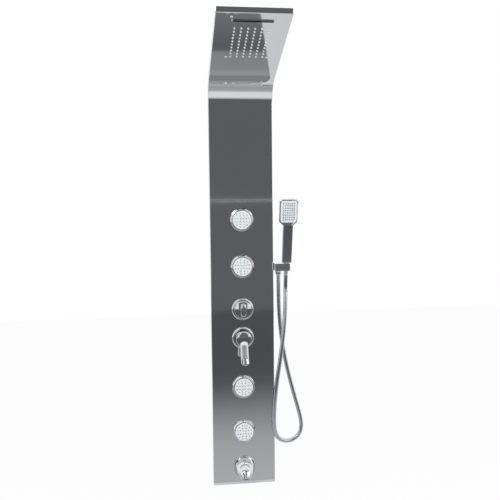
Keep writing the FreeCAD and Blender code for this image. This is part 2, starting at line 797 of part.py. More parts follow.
def rain_nozzle_mat():
    """The silicone mat: one flat sheet whose nozzles stand through the plate."""
    body = new_body("rain_nozzle_mat")
    start, end, half = nozzle_field()
    pad(body, rectangle(new_sketch(body), -half, start, half, end), size("mat_thickness"))
    nozzle = polygon(new_sketch(body), *first_nozzle(), size("nozzle_radius"), 4)
    spike = pad(body, nozzle, THICK + size("nozzle_drop"), backwards=True)
    nozzle_grid(body, nozzle, spike)
    place_on_head(body, 0, lift(0), THICK)
    return node(body, "rain_nozzle_mat")


def waterfall_mouth():
    """The flattened tube that the waterfall leaves by."""
    body = new_body("waterfall_mouth")
    length, width = size("slot_length") - GAP, size("slot_width") - GAP
    wall = size("mouth_wall")
    height = size("mouth_drop") + THICK + size("chamber_depth") / 2
    pad(body, slot_outline(new_sketch(body), lift(0), length, width), height)
    bore = slot_outline(new_sketch(body), lift(0), length - 2 * wall, width - 2 * wall)
    pocket(body, bore, height + CLEAR, both_ways=False, backwards=True)
    place_on_head(body, 0, size("slot_distance"), -size("mouth_drop"))
    return node(body, "waterfall_mouth")


def head_screws():
    """Four screws that hold the water box to the plate."""
    screws = []
    for x, along in head_screw_places():
        screw = new_body("head_screw")
        shank = size("manifold_height") - THICK
        pad(screw, polygon(new_sketch(screw), lift(0), lift(0), size("screw_radius")), shank)
        head = polygon(new_sketch(screw), lift(0), lift(0), size("screw_head_radius"))
        pad(screw, head, size("screw_head_height"), backwards=True)
        place_on_head(screw, x, along, lift(0))
        screws.append(screw)
    return together("head_screws", screws)


# ---------------------------------------------------------------- body jets

def at_sphere(radius, offset):
    """Radius of a sphere's slice at a distance from its centre."""
    return root(radius * radius - offset * offset)


def jet_body(height, tails):
    """The chrome ring with its threaded barrel in one piece, and the push fittings on the barrel."""
    outer, tall, web = size("jet_ring_radius"), size("jet_ring_height"), size("jet_web")
    bore, barrel = size("jet_disc_radius") + 2 * GAP, size("jet_barrel_radius")
    ring = new_body("jet_ring")
    straight = size("jet_ring_straight")
    pad(ring, polygon(new_sketch(ring, "XZ_Plane"), lift(0), lift(0), outer, ROUND), straight)
    slope = []
    for out, radius in ((straight, outer), (tall, bore + size("jet_ring_lip"))):
        slope.append(polygon(new_sketch(ring, "XZ_Plane", (0, 0, out)), lift(0), lift(0), radius, ROUND))
    loft(ring, slope, "slope")
    well = new_sketch(ring, "XZ_Plane", (0, 0, web))
    pocket(ring, polygon(well, lift(0), lift(0), bore, ROUND), tall, backwards=True)
    shank = new_sketch(ring, "XZ_Plane")
    pad(ring, polygon(shank, lift(0), lift(0), barrel, SMALL), size("jet_barrel_length"), backwards=True)
    place(ring, 0, lift(0), height)
    pieces = [ring]
    for side in tails:
        reach = size("tail_reach")
        pieces.append(prism(6, size("fitting_radius"), reach, 0, -SERVICE, height, Vector(0, 0, side)))
    return fused(pieces)


def jet_face(name, height):
    """The white disc with its bevelled crown, and the stem that carries it."""
    back, front = size("jet_disc_back"), size("jet_disc_front")
    radius = size("jet_disc_radius")
    face = new_body(name)
    disc = new_sketch(face, "XZ_Plane", (0, 0, -back))
    pad(face, polygon(disc, lift(0), lift(0), radius, ROUND), back + front)
    crown = new_sketch(face, "XZ_Plane", (0, 0, front))
    pad(face, polygon(crown, lift(0), lift(0), radius, ROUND), size("jet_disc_crown"), taper=-60)
    stem = new_sketch(face, "XZ_Plane", (0, 0, -back))
    floor = size("jet_pivot_out") - size("jet_web") - 4 * GAP
    pad(face, polygon(stem, lift(0), lift(0), size("jet_stem_radius")), floor - back, backwards=True)
    place(face, 0, size("jet_pivot_out"), height)
    return node(face, name)


def jet_seat(name, height):
    """The swivel seat that the disc's stem tilts in; it turns on the floor of the ring."""
    seat = new_body(name)
    sketch = new_sketch(seat, "XZ_Plane")
    polygon(sketch, lift(0), lift(0), size("jet_seat_radius"), SMALL)
    polygon(sketch, lift(0), lift(0), size("jet_stem_radius") + size("jet_stem_play"))
    pad(seat, sketch, size("jet_seat_height"))
    place(seat, 0, size("jet_web") + GAP, height)
    return node(seat, name)


def hex_nut(thread_radius, out, height, corner_radius, tall=None, sides=6, thread_sides=SMALL):
    """A lock nut whose front lies at a distance out of the panel's face."""
    body = new_body("nut")
    sketch = new_sketch(body, "XZ_Plane")
    polygon(sketch, lift(0), lift(0), corner_radius, sides)
    polygon(sketch, lift(0), lift(0), thread_radius, thread_sides)
    pad(body, sketch, tall or size("nut_height"), backwards=True)
    place(body, 0, out, height)
    return body


def over_corners(radius, sides):
    """Corner radius of a regular outline whose flats just clear a circle."""
    return radius / cosine(180 / sides)


def washer(name, inner, outer, thickness, out, height):
    """A flat rubber ring that lies behind the panel's sheet."""
    body = new_body(name)
    sketch = new_sketch(body, "XZ_Plane")
    polygon(sketch, lift(0), lift(0), outer, SMALL)
    polygon(sketch, lift(0), lift(0), inner, SMALL)
    pad(body, sketch, thickness, backwards=True)
    place(body, 0, out, height)
    return body


def jets():
    """Four equal jets, each a ring with its barrel, a disc, a swivel seat, a gasket and a lock nut."""
    bodies, nuts, gaskets = [], [], []
    for name, alias, tails in JETS:
        height = size(alias)
        bodies.append(jet_body(height, tails))
        jet_seat(f"{name}_seat", height)
        jet_face(f"{name}_face", height)
        thread = size("jet_barrel_radius")
        gaskets.append(washer("gasket", thread, size("nut_radius"), size("gasket_thickness"), -THICK, height))
        nuts.append(hex_nut(thread, -(THICK + size("gasket_thickness")), height, size("nut_radius")))
    together("jet_bodies", bodies)
    together("jet_gaskets", gaskets)
    together("jet_nuts", nuts)


# ---------------------------------------------------------------- controls

def control_flanges():
    """The two round wall plates, one round the mixer and one round the diverter."""
    outer, tall = size("control_flange_radius"), size("control_flange_height")
    bore = size("bonnet_radius") + 2 * GAP
    plates = []
    for alias in ("mixer_height", "diverter_height"):
        plate = prism(ROUND, outer, tall, 0, 0, size(alias))
        hole = prism(ROUND, bore, tall, 0, 0, size(alias))
        plates.append(cut(plate, [hole]))
    return together("control_flanges", plates)


def nipple(angle):
    """Where a diverter nipple ends: from the panel's middle, and its height."""
    reach = size("nipple_reach")
    radians = math.radians(angle)
    return reach * math.cos(radians), size("diverter_height") + reach * math.sin(radians)


def valve_body():
    """The cast brass body with its two ports, the supply inlets and the outlet fittings."""
    mixer, diverter = size("mixer_height"), size("diverter_height")
    port, front, depth = size("port_radius"), size("body_front"), size("body_depth")
    inlet, spread = size("inlet_radius"), size("inlet_spread")
    block = new_body("valve_block")
    sketch = new_sketch(block, "XZ_Plane", (0, 0, -front))
    rectangle(sketch, -size("body_width") / 2, -port, size("body_width") / 2, diverter - mixer + port)
    pad(block, sketch, depth, backwards=True)
    place(block, 0, lift(0), mixer)
    arm = new_body("inlet_arm")
    bar = new_sketch(arm, "XZ_Plane", (0, 0, -front))
    rectangle(bar, -spread / 2 - inlet, -inlet, spread / 2 + inlet, inlet)
    pad(arm, bar, depth, backwards=True)
    place(arm, 0, lift(0), mixer)
    pieces = [block, arm]
    for height in (mixer, diverter):
        pieces.append(prism(ROUND, port, front - size("port_front"), 0, -front, height))
    for side in (-1, 1):
        rear = -(front + depth - 1)
        pieces.append(cylinder(inlet, size("inlet_length") + 1, side * spread / 2, rear, mixer, Vector(0, 1, 0)))
    for angle in NIPPLE_ANGLES.values():
        along = Vector(math.cos(math.radians(angle)), 0, math.sin(math.radians(angle)))
        pieces.append(prism(6, size("fitting_radius"), size("nipple_reach"), 0, -SERVICE, diverter, along))
    return node(fused(pieces), "valve_body")


def bonnets():
    """The two twelve-sided nuts that hold the cartridges on the ports, through the panel's holes."""
    nuts = []
    for alias in ("mixer_height", "diverter_height"):
        front = size("bonnet_height") - size("port_front")
        across, tall = size("bonnet_radius"), size("bonnet_height")
        nuts.append(hex_nut(size("cartridge_radius"), front, size(alias), across, tall, SMALL, ROUND))
    return together("cartridge_nuts", nuts)


def mixer():
    """The mixer: cartridge, turning carrier, tilting stem and lever."""
    height = size("mixer_height")
    port, front = size("port_front"), size("cartridge_out")
    tall = size("carrier_height")
    shell = prism(ROUND, size("cartridge_radius"), port + front, 0, -port, height)
    cup = prism(ROUND, size("carrier_radius") + 2 * GAP, tall + GAP, 0, front - tall - GAP, height)
    node(cut(shell, [cup]), "mixer_cartridge")
    mixer_carrier(height, front - tall)
    mixer_stem(height, front - tall)
    mixer_lever(height)


def mixer_carrier(height, floor):
    """The turning disc in the cartridge, slotted for the stem and drilled for its pin."""
    front = size("cartridge_out")
    body = new_body("mixer_carrier")
    disc = new_sketch(body, "XZ_Plane", (0, 0, floor))
    pad(body, polygon(disc, lift(0), lift(0), size("carrier_radius"), ROUND), front - floor)
    width, length = size("stem_width") + 2 * GAP, 2 * size("carrier_radius") - 8
    slot = new_sketch(body, "XZ_Plane", (0, 0, front))
    rectangle(slot, -width / 2, -length / 2, width / 2, length / 2)
    pocket(body, slot, size("carrier_height") + CLEAR)
    place(body, 0, lift(0), height)
    return node(body, "mixer_carrier")


def mixer_stem(height, floor):
    """The square stem that the lever tilts in the carrier's slot."""
    body = new_body("mixer_stem")
    half = size("stem_width") / 2
    pivot = size("lever_pivot_out")
    top = size("lever_cap_front") - size("lever_cap_wall")
    back = pivot - floor - 1
    stem = new_sketch(body, "XZ_Plane", (0, 0, -back))
    pad(body, rectangle(stem, -half, -half, half, half), back + top)
    place(body, 0, pivot, height)
    return node(body, "mixer_stem")


def mixer_lever(height):
    """The lever: a bell over the cartridge and a blade that hangs down and away from the panel."""
    body = new_body("mixer_lever")
    outer, wall, front = size("lever_cap_radius"), size("lever_cap_wall"), size("lever_cap_front")
    inner, shoulder = outer - wall, size("lever_shoulder")
    bevelled_round(body, outer, lift(0), front, shoulder, ROUND)
    hollow = polygon(new_sketch(body, "XZ_Plane"), lift(0), lift(0), inner, ROUND)
    pocket(body, hollow, front - wall, backwards=True)
    tip_out = size("lever_tip_out") - size("lever_pivot_out")
    drop, thick = size("lever_drop"), size("lever_thickness")
    blade = new_sketch(body, "YZ_Plane")
    outline(blade, [
        (-front, outer - shoulder), (-(front + 4), outer - shoulder - 4), (-(tip_out + 1), -drop + 7),
        (-tip_out, -drop + 1), (-(tip_out - 2), -drop), (-(tip_out - thick), -drop + 3),
        (-(front - shoulder), -outer),  (-(front - wall / 2), -outer + shoulder),
    ])
    pad(body, blade, size("lever_width"), both_ways=True)
    half, corner = size("lever_width") / 2, size("lever_tip_corner")
    corners = new_sketch(body, "XZ_Plane")
    for side in (-1, 1):
        past, low = side * (half + CLEAR), -(drop + CLEAR)
        outline(corners, [(side * half, -drop + corner), (side * (half - corner), -drop), (side * (half - corner), low),
                          (past, low), (past, -drop + corner)])
    pocket(body, corners, tip_out + CLEAR, backwards=True)
    place(body, 0, size("lever_pivot_out"), height)
    return node(body, "mixer_lever")


def diverter():
    """The diverter: cartridge, spindle and knob."""
    height = size("diverter_height")
    port, front = size("port_front"), size("control_flange_height")
    bore = size("spindle_radius") + GAP
    shell = prism(ROUND, size("cartridge_radius"), port + front, 0, -port, height)
    hole = prism(SMALL, bore, port + front, 0, -port, height)
    node(cut(shell, [hole]), "diverter_cartridge")
    start, tall = size("knob_start_out"), size("knob_height")
    seat = tall / 2
    node(prism(6, size("spindle_radius"), port + start + seat - GAP, 0, -port + GAP, height), "diverter_spindle")
    radius = size("knob_radius")
    knob = new_body("diverter_knob")
    bevel = size("knob_bevel")
    bevelled_round(knob, radius, start, tall, bevel, ROUND)
    well = new_sketch(knob, "XZ_Plane", (0, 0, start))
    pocket(knob, polygon(well, lift(0), lift(0), size("spindle_radius")), seat, backwards=True)
    grip = new_sketch(knob, "XZ_Plane", (0, 0, start + tall))
    half, reach, nose = size("grip_width") / 2, size("grip_length") / 2, size("grip_width") / 4
    outline(grip, [
        (-nose, -reach), (nose, -reach), (half, -reach + 2 * nose), (half, reach - 2 * nose), (nose, reach),
        (-nose, reach), (-half, reach - 2 * nose), (-half, -reach + 2 * nose),
    ])
    pad(knob, grip, size("grip_height"), taper=-6)
    place(knob, 0, lift(0), height)
    return node(knob, "diverter_knob")


# ---------------------------------------------------------------- tub spout

def spout():
    """The tub spout: a round base, a hood that narrows forward and down, and an aerator in its mouth."""
    height = size("spout_height")
    body = new_body("spout")
    base = size("spout_base_thickness")
    reach, fall, tilt = size("spout_reach"), size("spout_fall"), size("spout_outlet_tilt")
    shoulder, mouth_radius = size("spout_shoulder_radius"), size("spout_outlet_radius")
    foot = new_sketch(body, "XZ_Plane")
    pad(body, polygon(foot, lift(0), lift(0), size("spout_base_radius"), RIM), base)
    shank = polygon(new_sketch(body, "XZ_Plane"), lift(0), lift(0), size("shank_radius"), SMALL)
    pad(body, shank, SERVICE + size("fitting_radius"), backwards=True)
    place(body, 0, lift(0), height)
    crest = (shoulder + mouth_radius) / 2 + size("spout_crest")
    rings = []
    for out, down, turn, radius in (
        (base, lift(0), lift(0), shoulder),
        (reach / 2, fall / 4, tilt / 2.5, crest),
        (reach, fall, tilt, mouth_radius),
    ):
        facing = Rotation(Vector(1, 0, 0), 90 + turn.value)
        centre = Vector(0, -out.value, -down.value)
        rings.append([centre + facing.multVec(corner) for corner in flat_ring(radius, lift(0), ROUND)])
    hood = ready("hood", skin(rings))
    place(hood, 0, lift(0), height)
    tail = prism(6, size("fitting_radius"), size("tail_reach"), 0, -SERVICE, height, Vector(0, 0, 1))
    facing = math.radians(tilt.value)
    inward = Vector(0, math.cos(facing), math.sin(facing))
    mouth = prism(ROUND, size("aerator_radius"), size("aerator_depth"), 0, reach, height - fall, inward)
    node(cut(fused([body, hood, tail]), [mouth]), "spout_body")
    depth, rim = size("aerator_depth"), size("aerator_recess")
    out, low = reach - rim * cosine(tilt), height - fall + rim * sine(tilt)
    node(prism(ROUND, size("aerator_radius"), depth - rim, 0, out, low, inward), "spout_aerator")
    thickness = size("gasket_thickness")
    across = size("shank_nut_radius")
    node(washer("spout_gasket", size("shank_radius"), across, thickness, -THICK, height), "spout_gasket")
    node(hex_nut(size("shank_radius"), -(THICK + thickness), height, across), "spout_nut")


# ---------------------------------------------------------------- outlet block and hand shower

def block_top():
    return size("block_middle_height") + size("block_height") / 2


def block_foot():
    return size("block_middle_height") - size("block_height") / 2


def block_start():
    """Where the block begins, to the right of the panel."""
    return WIDTH / 2 + size("block_washer")


def cone_radius(at):
    """Radius of the hose cone at a distance along the handset's axis from the block's middle."""
    top, bottom = size("cone_top_radius"), size("cone_bottom_radius")
    return bottom + (at + size("cone_drop")) * (top - bottom) / (size("handle_start") + size("cone_drop"))


def flat_ring(radius, at, sides):
    """Corners of a level ring round the vertical axis."""
    angles = [2 * math.pi * step / sides for step in range(sides)]
    return [Vector(radius.value * math.cos(a), radius.value * math.sin(a), at.value) for a in angles]


def cone(name, low, high, play):
    """A tapered plug round the handset's axis between two distances from the block's middle."""
    rings = [flat_ring(cone_radius(at) + play, lift(at), SMALL) for at in (low, high)]
    plug = ready(name + "_taper", skin(rings))
    put_on_handset(plug)
    return plug


def outlet_block():
    """The square block on the panel's side: water outlet below, tilted socket for the handset."""
    body = new_body("block")
    start, front = block_start(), size("block_front")
    sketch = new_sketch(body, "XY_Plane")
    rectangle(sketch, start, -front, start + size("block_length"), size("block_depth") - front)
    block = pad(body, sketch, size("block_height"), both_ways=True)
    left = start.value

    def off_panel(point):
        return point.x > left + FINE

    bevel_edges(body, block, off_panel, size("block_bevel"))
    middle = size("block_middle_height")
    place(body, 0, lift(0), middle)
    reach = size("block_height")
    socket = cone("socket", -reach, reach, 2 * GAP)
    left_way = Vector(-1, 0, 0)
    inside = WIDTH / 2 - THICK - size("nut_height")
    shank = prism(SMALL, size("shank_radius"), start - inside, start, -SERVICE, middle, left_way)
    tail = prism(6, size("fitting_radius"), start - WIDTH / 2 + size("tail_reach"), start, -SERVICE, middle, left_way)
    return node(fused([cut(body, [socket]), shank, tail]), "outlet_block")


def side_ring(name, sides, thickness, x):
    """A ring round the outlet block's shank, to the left of x."""
    way = Vector(-1, 0, 0)
    middle = size("block_middle_height")
    ring = prism(sides, size("shank_nut_radius"), thickness, x, -SERVICE, middle, way)
    bore = prism(SMALL, size("shank_radius"), thickness, x, -SERVICE, middle, way)
    return node(cut(ring, [bore]), name)


def hose_ends():
    """The nut at the outlet and the cone at the handset."""
    nut = prism(ROUND, size("hose_nut_radius"), size("hose_nut_length"), size("outlet_x"), -SERVICE,
                block_foot(), Vector(0, 0, -1))
    node(nut, "hose_outlet_nut")
    node(cone("hose_cone", -size("cone_drop"), size("handle_start"), 0), "hose_cone")


def put_on_handset(thing):
    """Handset pieces are drawn along its axis, from the middle of the socket."""
    place(thing, size("socket_x"), size("socket_out"), size("block_middle_height"), turn=size("holder_tilt"))


def spray_middle():
    """Middle of the handset's head along its axis."""
    return size("handle_end") + size("neck_length") + size("spray_head_length") / 2 - 1


def handset():
    """The hand shower: handle, neck and flat head in one, a white face and a nozzle mat."""
    body = new_body("handset_body")
    width, depth = size("handle_width"), size("handle_depth")
    bottom = new_sketch(body, "XY_Plane", (0, 0, size("handle_start")))
    eight_sided(bottom, lift(0), lift(0), width, depth, size("handle_rounding"))
    pad(body, bottom, size("handle_end") - size("handle_start"))
    middle = spray_middle()
    head_depth, recess = size("spray_head_depth"), size("face_recess")
    back = head_depth / 2
    neck = new_sketch(body, "XY_Plane", (0, 0, size("handle_end")))
    eight_sided(neck, lift(0), lift(0), width, depth, size("handle_rounding"))
    shoulder = new_sketch(body, "XY_Plane", (0, 0, size("handle_end") + size("neck_length")))
    eight_sided(shoulder, lift(0), lift(0), width + 2 * size("neck_length"), head_depth, size("handle_rounding"))
    loft(body, [neck, shoulder], "neck")
    front = new_sketch(body, "XZ_Plane", (0, 0, -back))
    rounded_rectangle(front, lift(0), middle, size("spray_head_width"), size("spray_head_length"), size("spray_head_rounding"))
    pad(body, front, head_depth)
    face = new_sketch(body, "XZ_Plane", (0, 0, back))
    spray_outline(face, lift(0))
    pocket(body, face, recess)
    put_on_handset(body)
    node(body, "handset_body")
    handset_face(back, recess)
    handset_nozzles(back)


def spray_outline(sketch, play):
    """The white face's outline inside the chrome rim."""
    margin = size("face_margin")
    rounded_rectangle(sketch, lift(0), spray_middle(), size("spray_head_width") - 2 * margin - 2 * play,
                      size("spray_head_length") - 2 * margin - 2 * play, size("spray_head_rounding") - margin)


def first_spray_nozzle():
    across = (size("spray_columns") - 1) * size("spray_column_pitch")
    along = (size("spray_rows") - 1) * size("spray_row_pitch")
    return -across / 2, spray_middle() - along / 2


def spray_grid(body, sketch, feature):
    grid(body, sketch, feature, size("spray_columns"), size("spray_column_pitch"),
         size("spray_rows"), size("spray_row_pitch"))


def handset_face(back, recess):
    """The white plate in the handset's rim."""
    body = new_body("handset_face")
    plate = new_sketch(body, "XZ_Plane", (0, 0, back - recess))
    spray_outline(plate, lift(0))
    pad(body, plate, recess + size("face_crown"))
    put_on_handset(body)
    return node(body, "handset_face")


def handset_nozzles(back):
    """The dark nozzle tips on the white plate."""
    body = new_body("handset_nozzles")
    body.AllowCompound = True
    nozzle = new_sketch(body, "XZ_Plane", (0, 0, back + size("face_crown")))
    polygon(nozzle, *first_spray_nozzle(), size("spray_nozzle_radius"), 4)
    spike = pad(body, nozzle, size("spray_nozzle_height"))
    spray_grid(body, nozzle, spike)
    put_on_handset(body)
    return node(body, "handset_nozzles")


# ---------------------------------------------------------------- pipes and hose

def panel_point(x, depth, height):
    """A point given from the panel's middle, face and bottom, in the part's own frame."""
    return Vector(x, depth - FACE.value, height - size("upper_bracket_height").value)


def bend_radius_at(before, point, after):
    """The radius of a bend: as large as 0.45 of the shorter run allows."""
    arriving, leaving = point - before, after - point
    turn = arriving.getAngle(leaving)
    return 0.45 * min(arriving.Length, leaving.Length) / math.tan(turn / 2), turn


def route_edges(points, largest):
    """Straight runs joined by tangent arcs."""
    edges, radii, start = [], [], points[0]
    for before, point, after in zip(points, points[1:], points[2:]):
        radius, turn = bend_radius_at(before, point, after)
        radius = min(radius, largest)
        radii.append(radius)
        reach = radius * math.tan(turn / 2)
        arriving, leaving = (before - point).normalize(), (after - point).normalize()
        first, last = point + arriving * reach, point + leaving * reach
        inward = (arriving + leaving).normalize()
        middle = point + inward * (radius / math.cos(turn / 2) - radius)
        edges.append(Part.LineSegment(start, first).toShape())
        edges.append(Part.Arc(first, middle, last).toShape())
        start = last
    edges.append(Part.LineSegment(start, points[-1]).toShape())
    return edges, radii


def skin(rings):
    """A closed solid over rings with equally many corners, in flat triangles."""
    faces = [Part.Face(Part.makePolygon(ring + ring[:1])) for ring in (rings[0], rings[-1])]
    for low, high in zip(rings, rings[1:]):
        for index, corner in enumerate(low):
            for corners in ((low[index - 1], corner, high[index]), (low[index - 1], high[index], high[index - 1])):
                faces.append(Part.Face(Part.makePolygon([*corners, corners[0]])))
    solid = Part.makeSolid(Part.makeShell(faces))
    if solid.Volume < 0:
        solid.reverse()
    return solid


def ready(name, shape):
    """A worked-out shape as an object of its own."""
    thing = doc.addObject("Part::Feature", name)
    thing.Shape = shape
    return thing


def tube(points, radius, step_angle, sides, steady=Vector(1, 0, 0), largest=math.inf):
    """A tube along straight runs and tangent arcs: a skin over rings square to the route.

    A bend gets a ring at each step of its turn, so a slight one has a single ring in its middle.
    """
    edges, radii = route_edges(points, largest)
    places, distance = [0], 0
    for edge in edges:
        if edge.Curve.TypeId == "Part::GeomCircle":
            steps = round(math.degrees(edge.Length / edge.Curve.Radius) / step_angle)
            shares = [step / steps for step in range(steps + 1)] if steps else [0.5]
            places += [distance + share * edge.Length for share in shares]
        distance += edge.Length
    places.append(distance)
    return skin([ring_at(edges, at, radius, steady, sides) for at in places]), distance, radii


def cut_off_area(radius, sides):
    """Area of a regular outline from its corner radius."""
    return sides / 2 * radius ** 2 * math.sin(math.radians(360 / sides))


def pipe(name, routes, steady=Vector(0, 1, 0)):
    """One node with the supply pipe, or stretches of pipe, along the given routes."""
    solids = []
    largest = size("pipe_bend_radius").value
    for route in routes:
        points = [panel_point(*p) for p in route]
        radius = size("pipe_radius").value
        solid, length, _ = tube(points, radius, PIPE_STEP, PIPE_SIDES, steady, largest)
        section = cut_off_area(radius, PIPE_SIDES)
        print(f"{name}: volume {solid.Volume / (section * length):.4f} of section times length")
        solids.append(solid)
    return node(ready(name, solids[0] if len(solids) == 1 else Part.makeCompound(solids)), name)


def pipes():
    """The supply pipes from the diverter to each outlet."""
    depth = SERVICE.value
    reach = size("tail_reach").value

    def outlet(way):
        x, height = nipple(NIPPLE_ANGLES[way])
        return x.value, depth, height.value

    def jet(number):
        return size(JETS[number][1]).value

    def onward(way, x):
        """Straight on from an outlet to a distance from the panel's middle."""
        first = outlet(way)
        return x, depth, first[2] + (x - first[0]) * math.tan(math.radians(NIPPLE_ANGLES[way]))

    down, spout_outlet, side_outlet = outlet("jets_down"), outlet("spout"), outlet("handset")
    column = size("pipe_column").value
    bend = size("pipe_bend").value
    turn_height = jet(2) + reach + bend
    pipe("jet_pipes", [
        [outlet("jets_up"), (0, depth, jet(1) - reach)],
        [(0, depth, jet(1) + reach), (0, depth, jet(0) - reach)],
        [down, onward("jets_down", -column),
         (-column, depth, turn_height + bend), (0, depth, turn_height), (0, depth, jet(2) + reach)],
        [(0, depth, jet(2) - reach), (0, depth, jet(3) + reach)],
    ])
    side = size("feed_spread").value / 2
    for name, way, x in (("rain_pipe", "rain", -side), ("waterfall_pipe", "waterfall", side)):
        pipe(name, [[outlet(way), onward(way, x)] + head_route(x, depth)], Vector(1, 0, 0))
    outer = -(column + size("pipe_spacing").value)
    low = size("spout_height").value + reach
    pipe("spout_pipe", [[spout_outlet, (outer, depth, spout_outlet[2]), (outer, depth, low + 2 * bend),
                         (0, depth, low + bend), (0, depth, low)]])
    end, middle = WIDTH.value / 2 - reach, size("block_middle_height").value
    riser = (side_outlet[0] + end) / 2
    pipe("handset_pipe", [[side_outlet, (riser, depth, side_outlet[2]), (riser, depth, middle), (end, depth, middle)]])


def head_route(x, depth):
    """Up behind the panel, round its bend and along the head to the water box."""
    slope = math.radians(SLOPE.value)
    lifted = (THICK + feed_lift()).value
    end = (size("manifold_end") + size("manifold_height")).value
    y = -size("head_reach").value + end * math.cos(slope) + lifted * math.sin(slope)
    z = TIP_HEIGHT.value - end * math.sin(slope) + lifted * math.cos(slope)
    corner = z - (depth - y) * math.tan(slope)
    return [(x, depth, corner), (x, y, z)]


def feed_lift():
    """How far the feed pipes lie above the head's sheet."""
    return size("pipe_radius") + GAP


def hose_points():
    """The hose's route, straight out of the nut and straight into the cone."""
    tilt = math.radians(size("holder_tilt").value)
    drop = size("cone_drop").value
    foot = block_foot().value - size("hose_nut_length").value
    start = panel_point(size("outlet_x").value, SERVICE.value, foot)

    def on_axis(distance):
        return panel_point(size("socket_x").value, -size("socket_out").value + distance * math.sin(tilt),
                           size("block_middle_height").value - distance * math.cos(tilt))

    return [start] + [panel_point(*p) for p in HOSE_ROUTE] + [on_axis(drop + 36), on_axis(drop)]


def hose():
    """The flexible hose between the outlet's nut and the handset's cone."""
    points = hose_points()
    solid, length, radii = tube(points, size("hose_radius").value, HOSE_STEP, SMALL)
    print("hose bend radii:", [round(r) for r in radii])
    section = cut_off_area(size("hose_radius").value, SMALL)
    print(f"hose: length {length:.0f}, volume {solid.Volume / (section * length):.4f} of section times length")
    return node(ready("hose_tube", solid), "hose")


def ring_at(edges, distance, radius, steady, sides):
    """Corners of a ring square to the route at a distance along it, the first on a steady side."""
    for edge in edges:
        if distance <= edge.Length + FINE:
            break
        distance -= edge.Length
    parameter = edge.getParameterByLength(min(distance, edge.Length))
    centre, ahead = edge.valueAt(parameter), edge.tangentAt(parameter)
    across = (steady - ahead * steady.dot(ahead)).normalize()
    beside = ahead.cross(across)
    angles = [2 * math.pi * step / sides for step in range(sides)]
    return [centre + across * radius * math.cos(a) + beside * radius * math.sin(a) for a in angles]


# ---------------------------------------------------------------- wall fixing

def wall_bracket(name, height):
    """A folded bracket: wall leg with two screw holes, shelf, and a tongue that the panel hangs on."""
    body = new_body(name)
    metal, reach = size("bracket_sheet"), size("bracket_reach")
    high = size("bracket_height") / 2
    tongue = high + size("tongue_height")
    outline_sketch = new_sketch(body, "YZ_Plane")
    outline(outline_sketch, [
        (0, -high), (0, high), (-(reach), high), (-(reach), tongue), (-(reach + metal), tongue),
        (-(reach + metal), high - metal), (-metal, high - metal), (-metal, -high),
    ])
    pad(body, outline_sketch, size("bracket_width"), both_ways=True)
    holes = new_sketch(body, "XZ_Plane")
    for side in (-1, 1):
        circle(holes, side * size("wall_screw_spread") / 2, 0, size("wall_screw_radius"))
    pocket(body, holes, 2 * CLEAR, both_ways=True)
    place(body, 0, -FACE, height)
    return node(body, name)


def hanger_bars():
    """The two hooked bars welded between the panel's flanges, which hang on the bracket tongues."""
    bars = []
    metal, reach = size("bracket_sheet"), size("bracket_reach")
    tongue = size("bracket_height") / 2 + size("tongue_height")
    rest = tongue + GAP
    front = reach + 2 * metal + 1
    rear = reach - 1 - metal
    for alias in ("upper_bracket_height", "lower_bracket_height"):
        bar = new_body("hanger_bar")
        sketch = new_sketch(bar, "YZ_Plane")
        outline(sketch, [
            (-front, rest - size("hanger_height")), (-front + metal, rest - size("hanger_height")), (-front + metal, rest),
            (-(rear + metal), rest), (-(rear + metal), rest - size("tongue_height") + 2), (-rear, rest - size("tongue_height") + 2),
            (-rear, rest + metal), (-front, rest + metal),
        ])
        pad(bar, sketch, WIDTH - 2 * THICK, both_ways=True)
        place(bar, 0, -FACE, size(alias))
        bars.append(bar)
    return together("hanger_bars", bars)


def check_and_write():
    """Stop at any failed object or broken shape, then write each sub-part to its own file."""
    doc.recompute()
    for thing in doc.Objects:
        if "Invalid" in thing.State or "Error" in thing.State:
            raise RuntimeError(f"{thing.Name} ({thing.Label}) failed: {thing.State}")
    os.makedirs("parts", exist_ok=True)
    for thing in NODES:
        shape = thing.Shape
        if shape.isNull() or not shape.isValid() or not shape.Solids:
            raise RuntimeError(f"{thing.Label} has no valid solid")
        shape.exportStep(os.path.join("parts", f"{thing.Label}.step"))
    print(f"{len(NODES)} sub-parts written")


panel_shell()
head_cover()
head_manifold()
rain_nozzle_mat()
waterfall_mouth()
head_screws()
jets()
valve_body()
control_flanges()
bonnets()
mixer()
diverter()
spout()
outlet_block()
side_ring("block_washer", ROUND, size("block_washer"), block_start())
side_ring("block_nut", 6, size("nut_height"), WIDTH / 2 - THICK)
hose_ends()
handset()
pipes()
hose()
wall_bracket("upper_wall_bracket", size("upper_bracket_height"))
wall_bracket("lower_wall_bracket", size("lower_bracket_height"))
hanger_bars()
check_and_write()
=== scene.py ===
"""A shower panel column: its looks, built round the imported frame.

Points are metres in the part's own frame. X runs to the bather's right, Y into the wall and Z up. The
sizes that the classes hold are millimetres. A place on the panel is given as x from its middle, "out"
of its face towards the bather, and height above its bottom edge; `panel_axis` stands an axis there.
An outline's corners are (radius, distance along the axis, rounding), or (u, v, rounding).
"""

from __future__ import annotations

import json
import logging
import math
from dataclasses import dataclass, field
from enum import Enum
from typing import Iterable, Sequence

import bpy
import numpy as np
from mathutils import Matrix, Vector

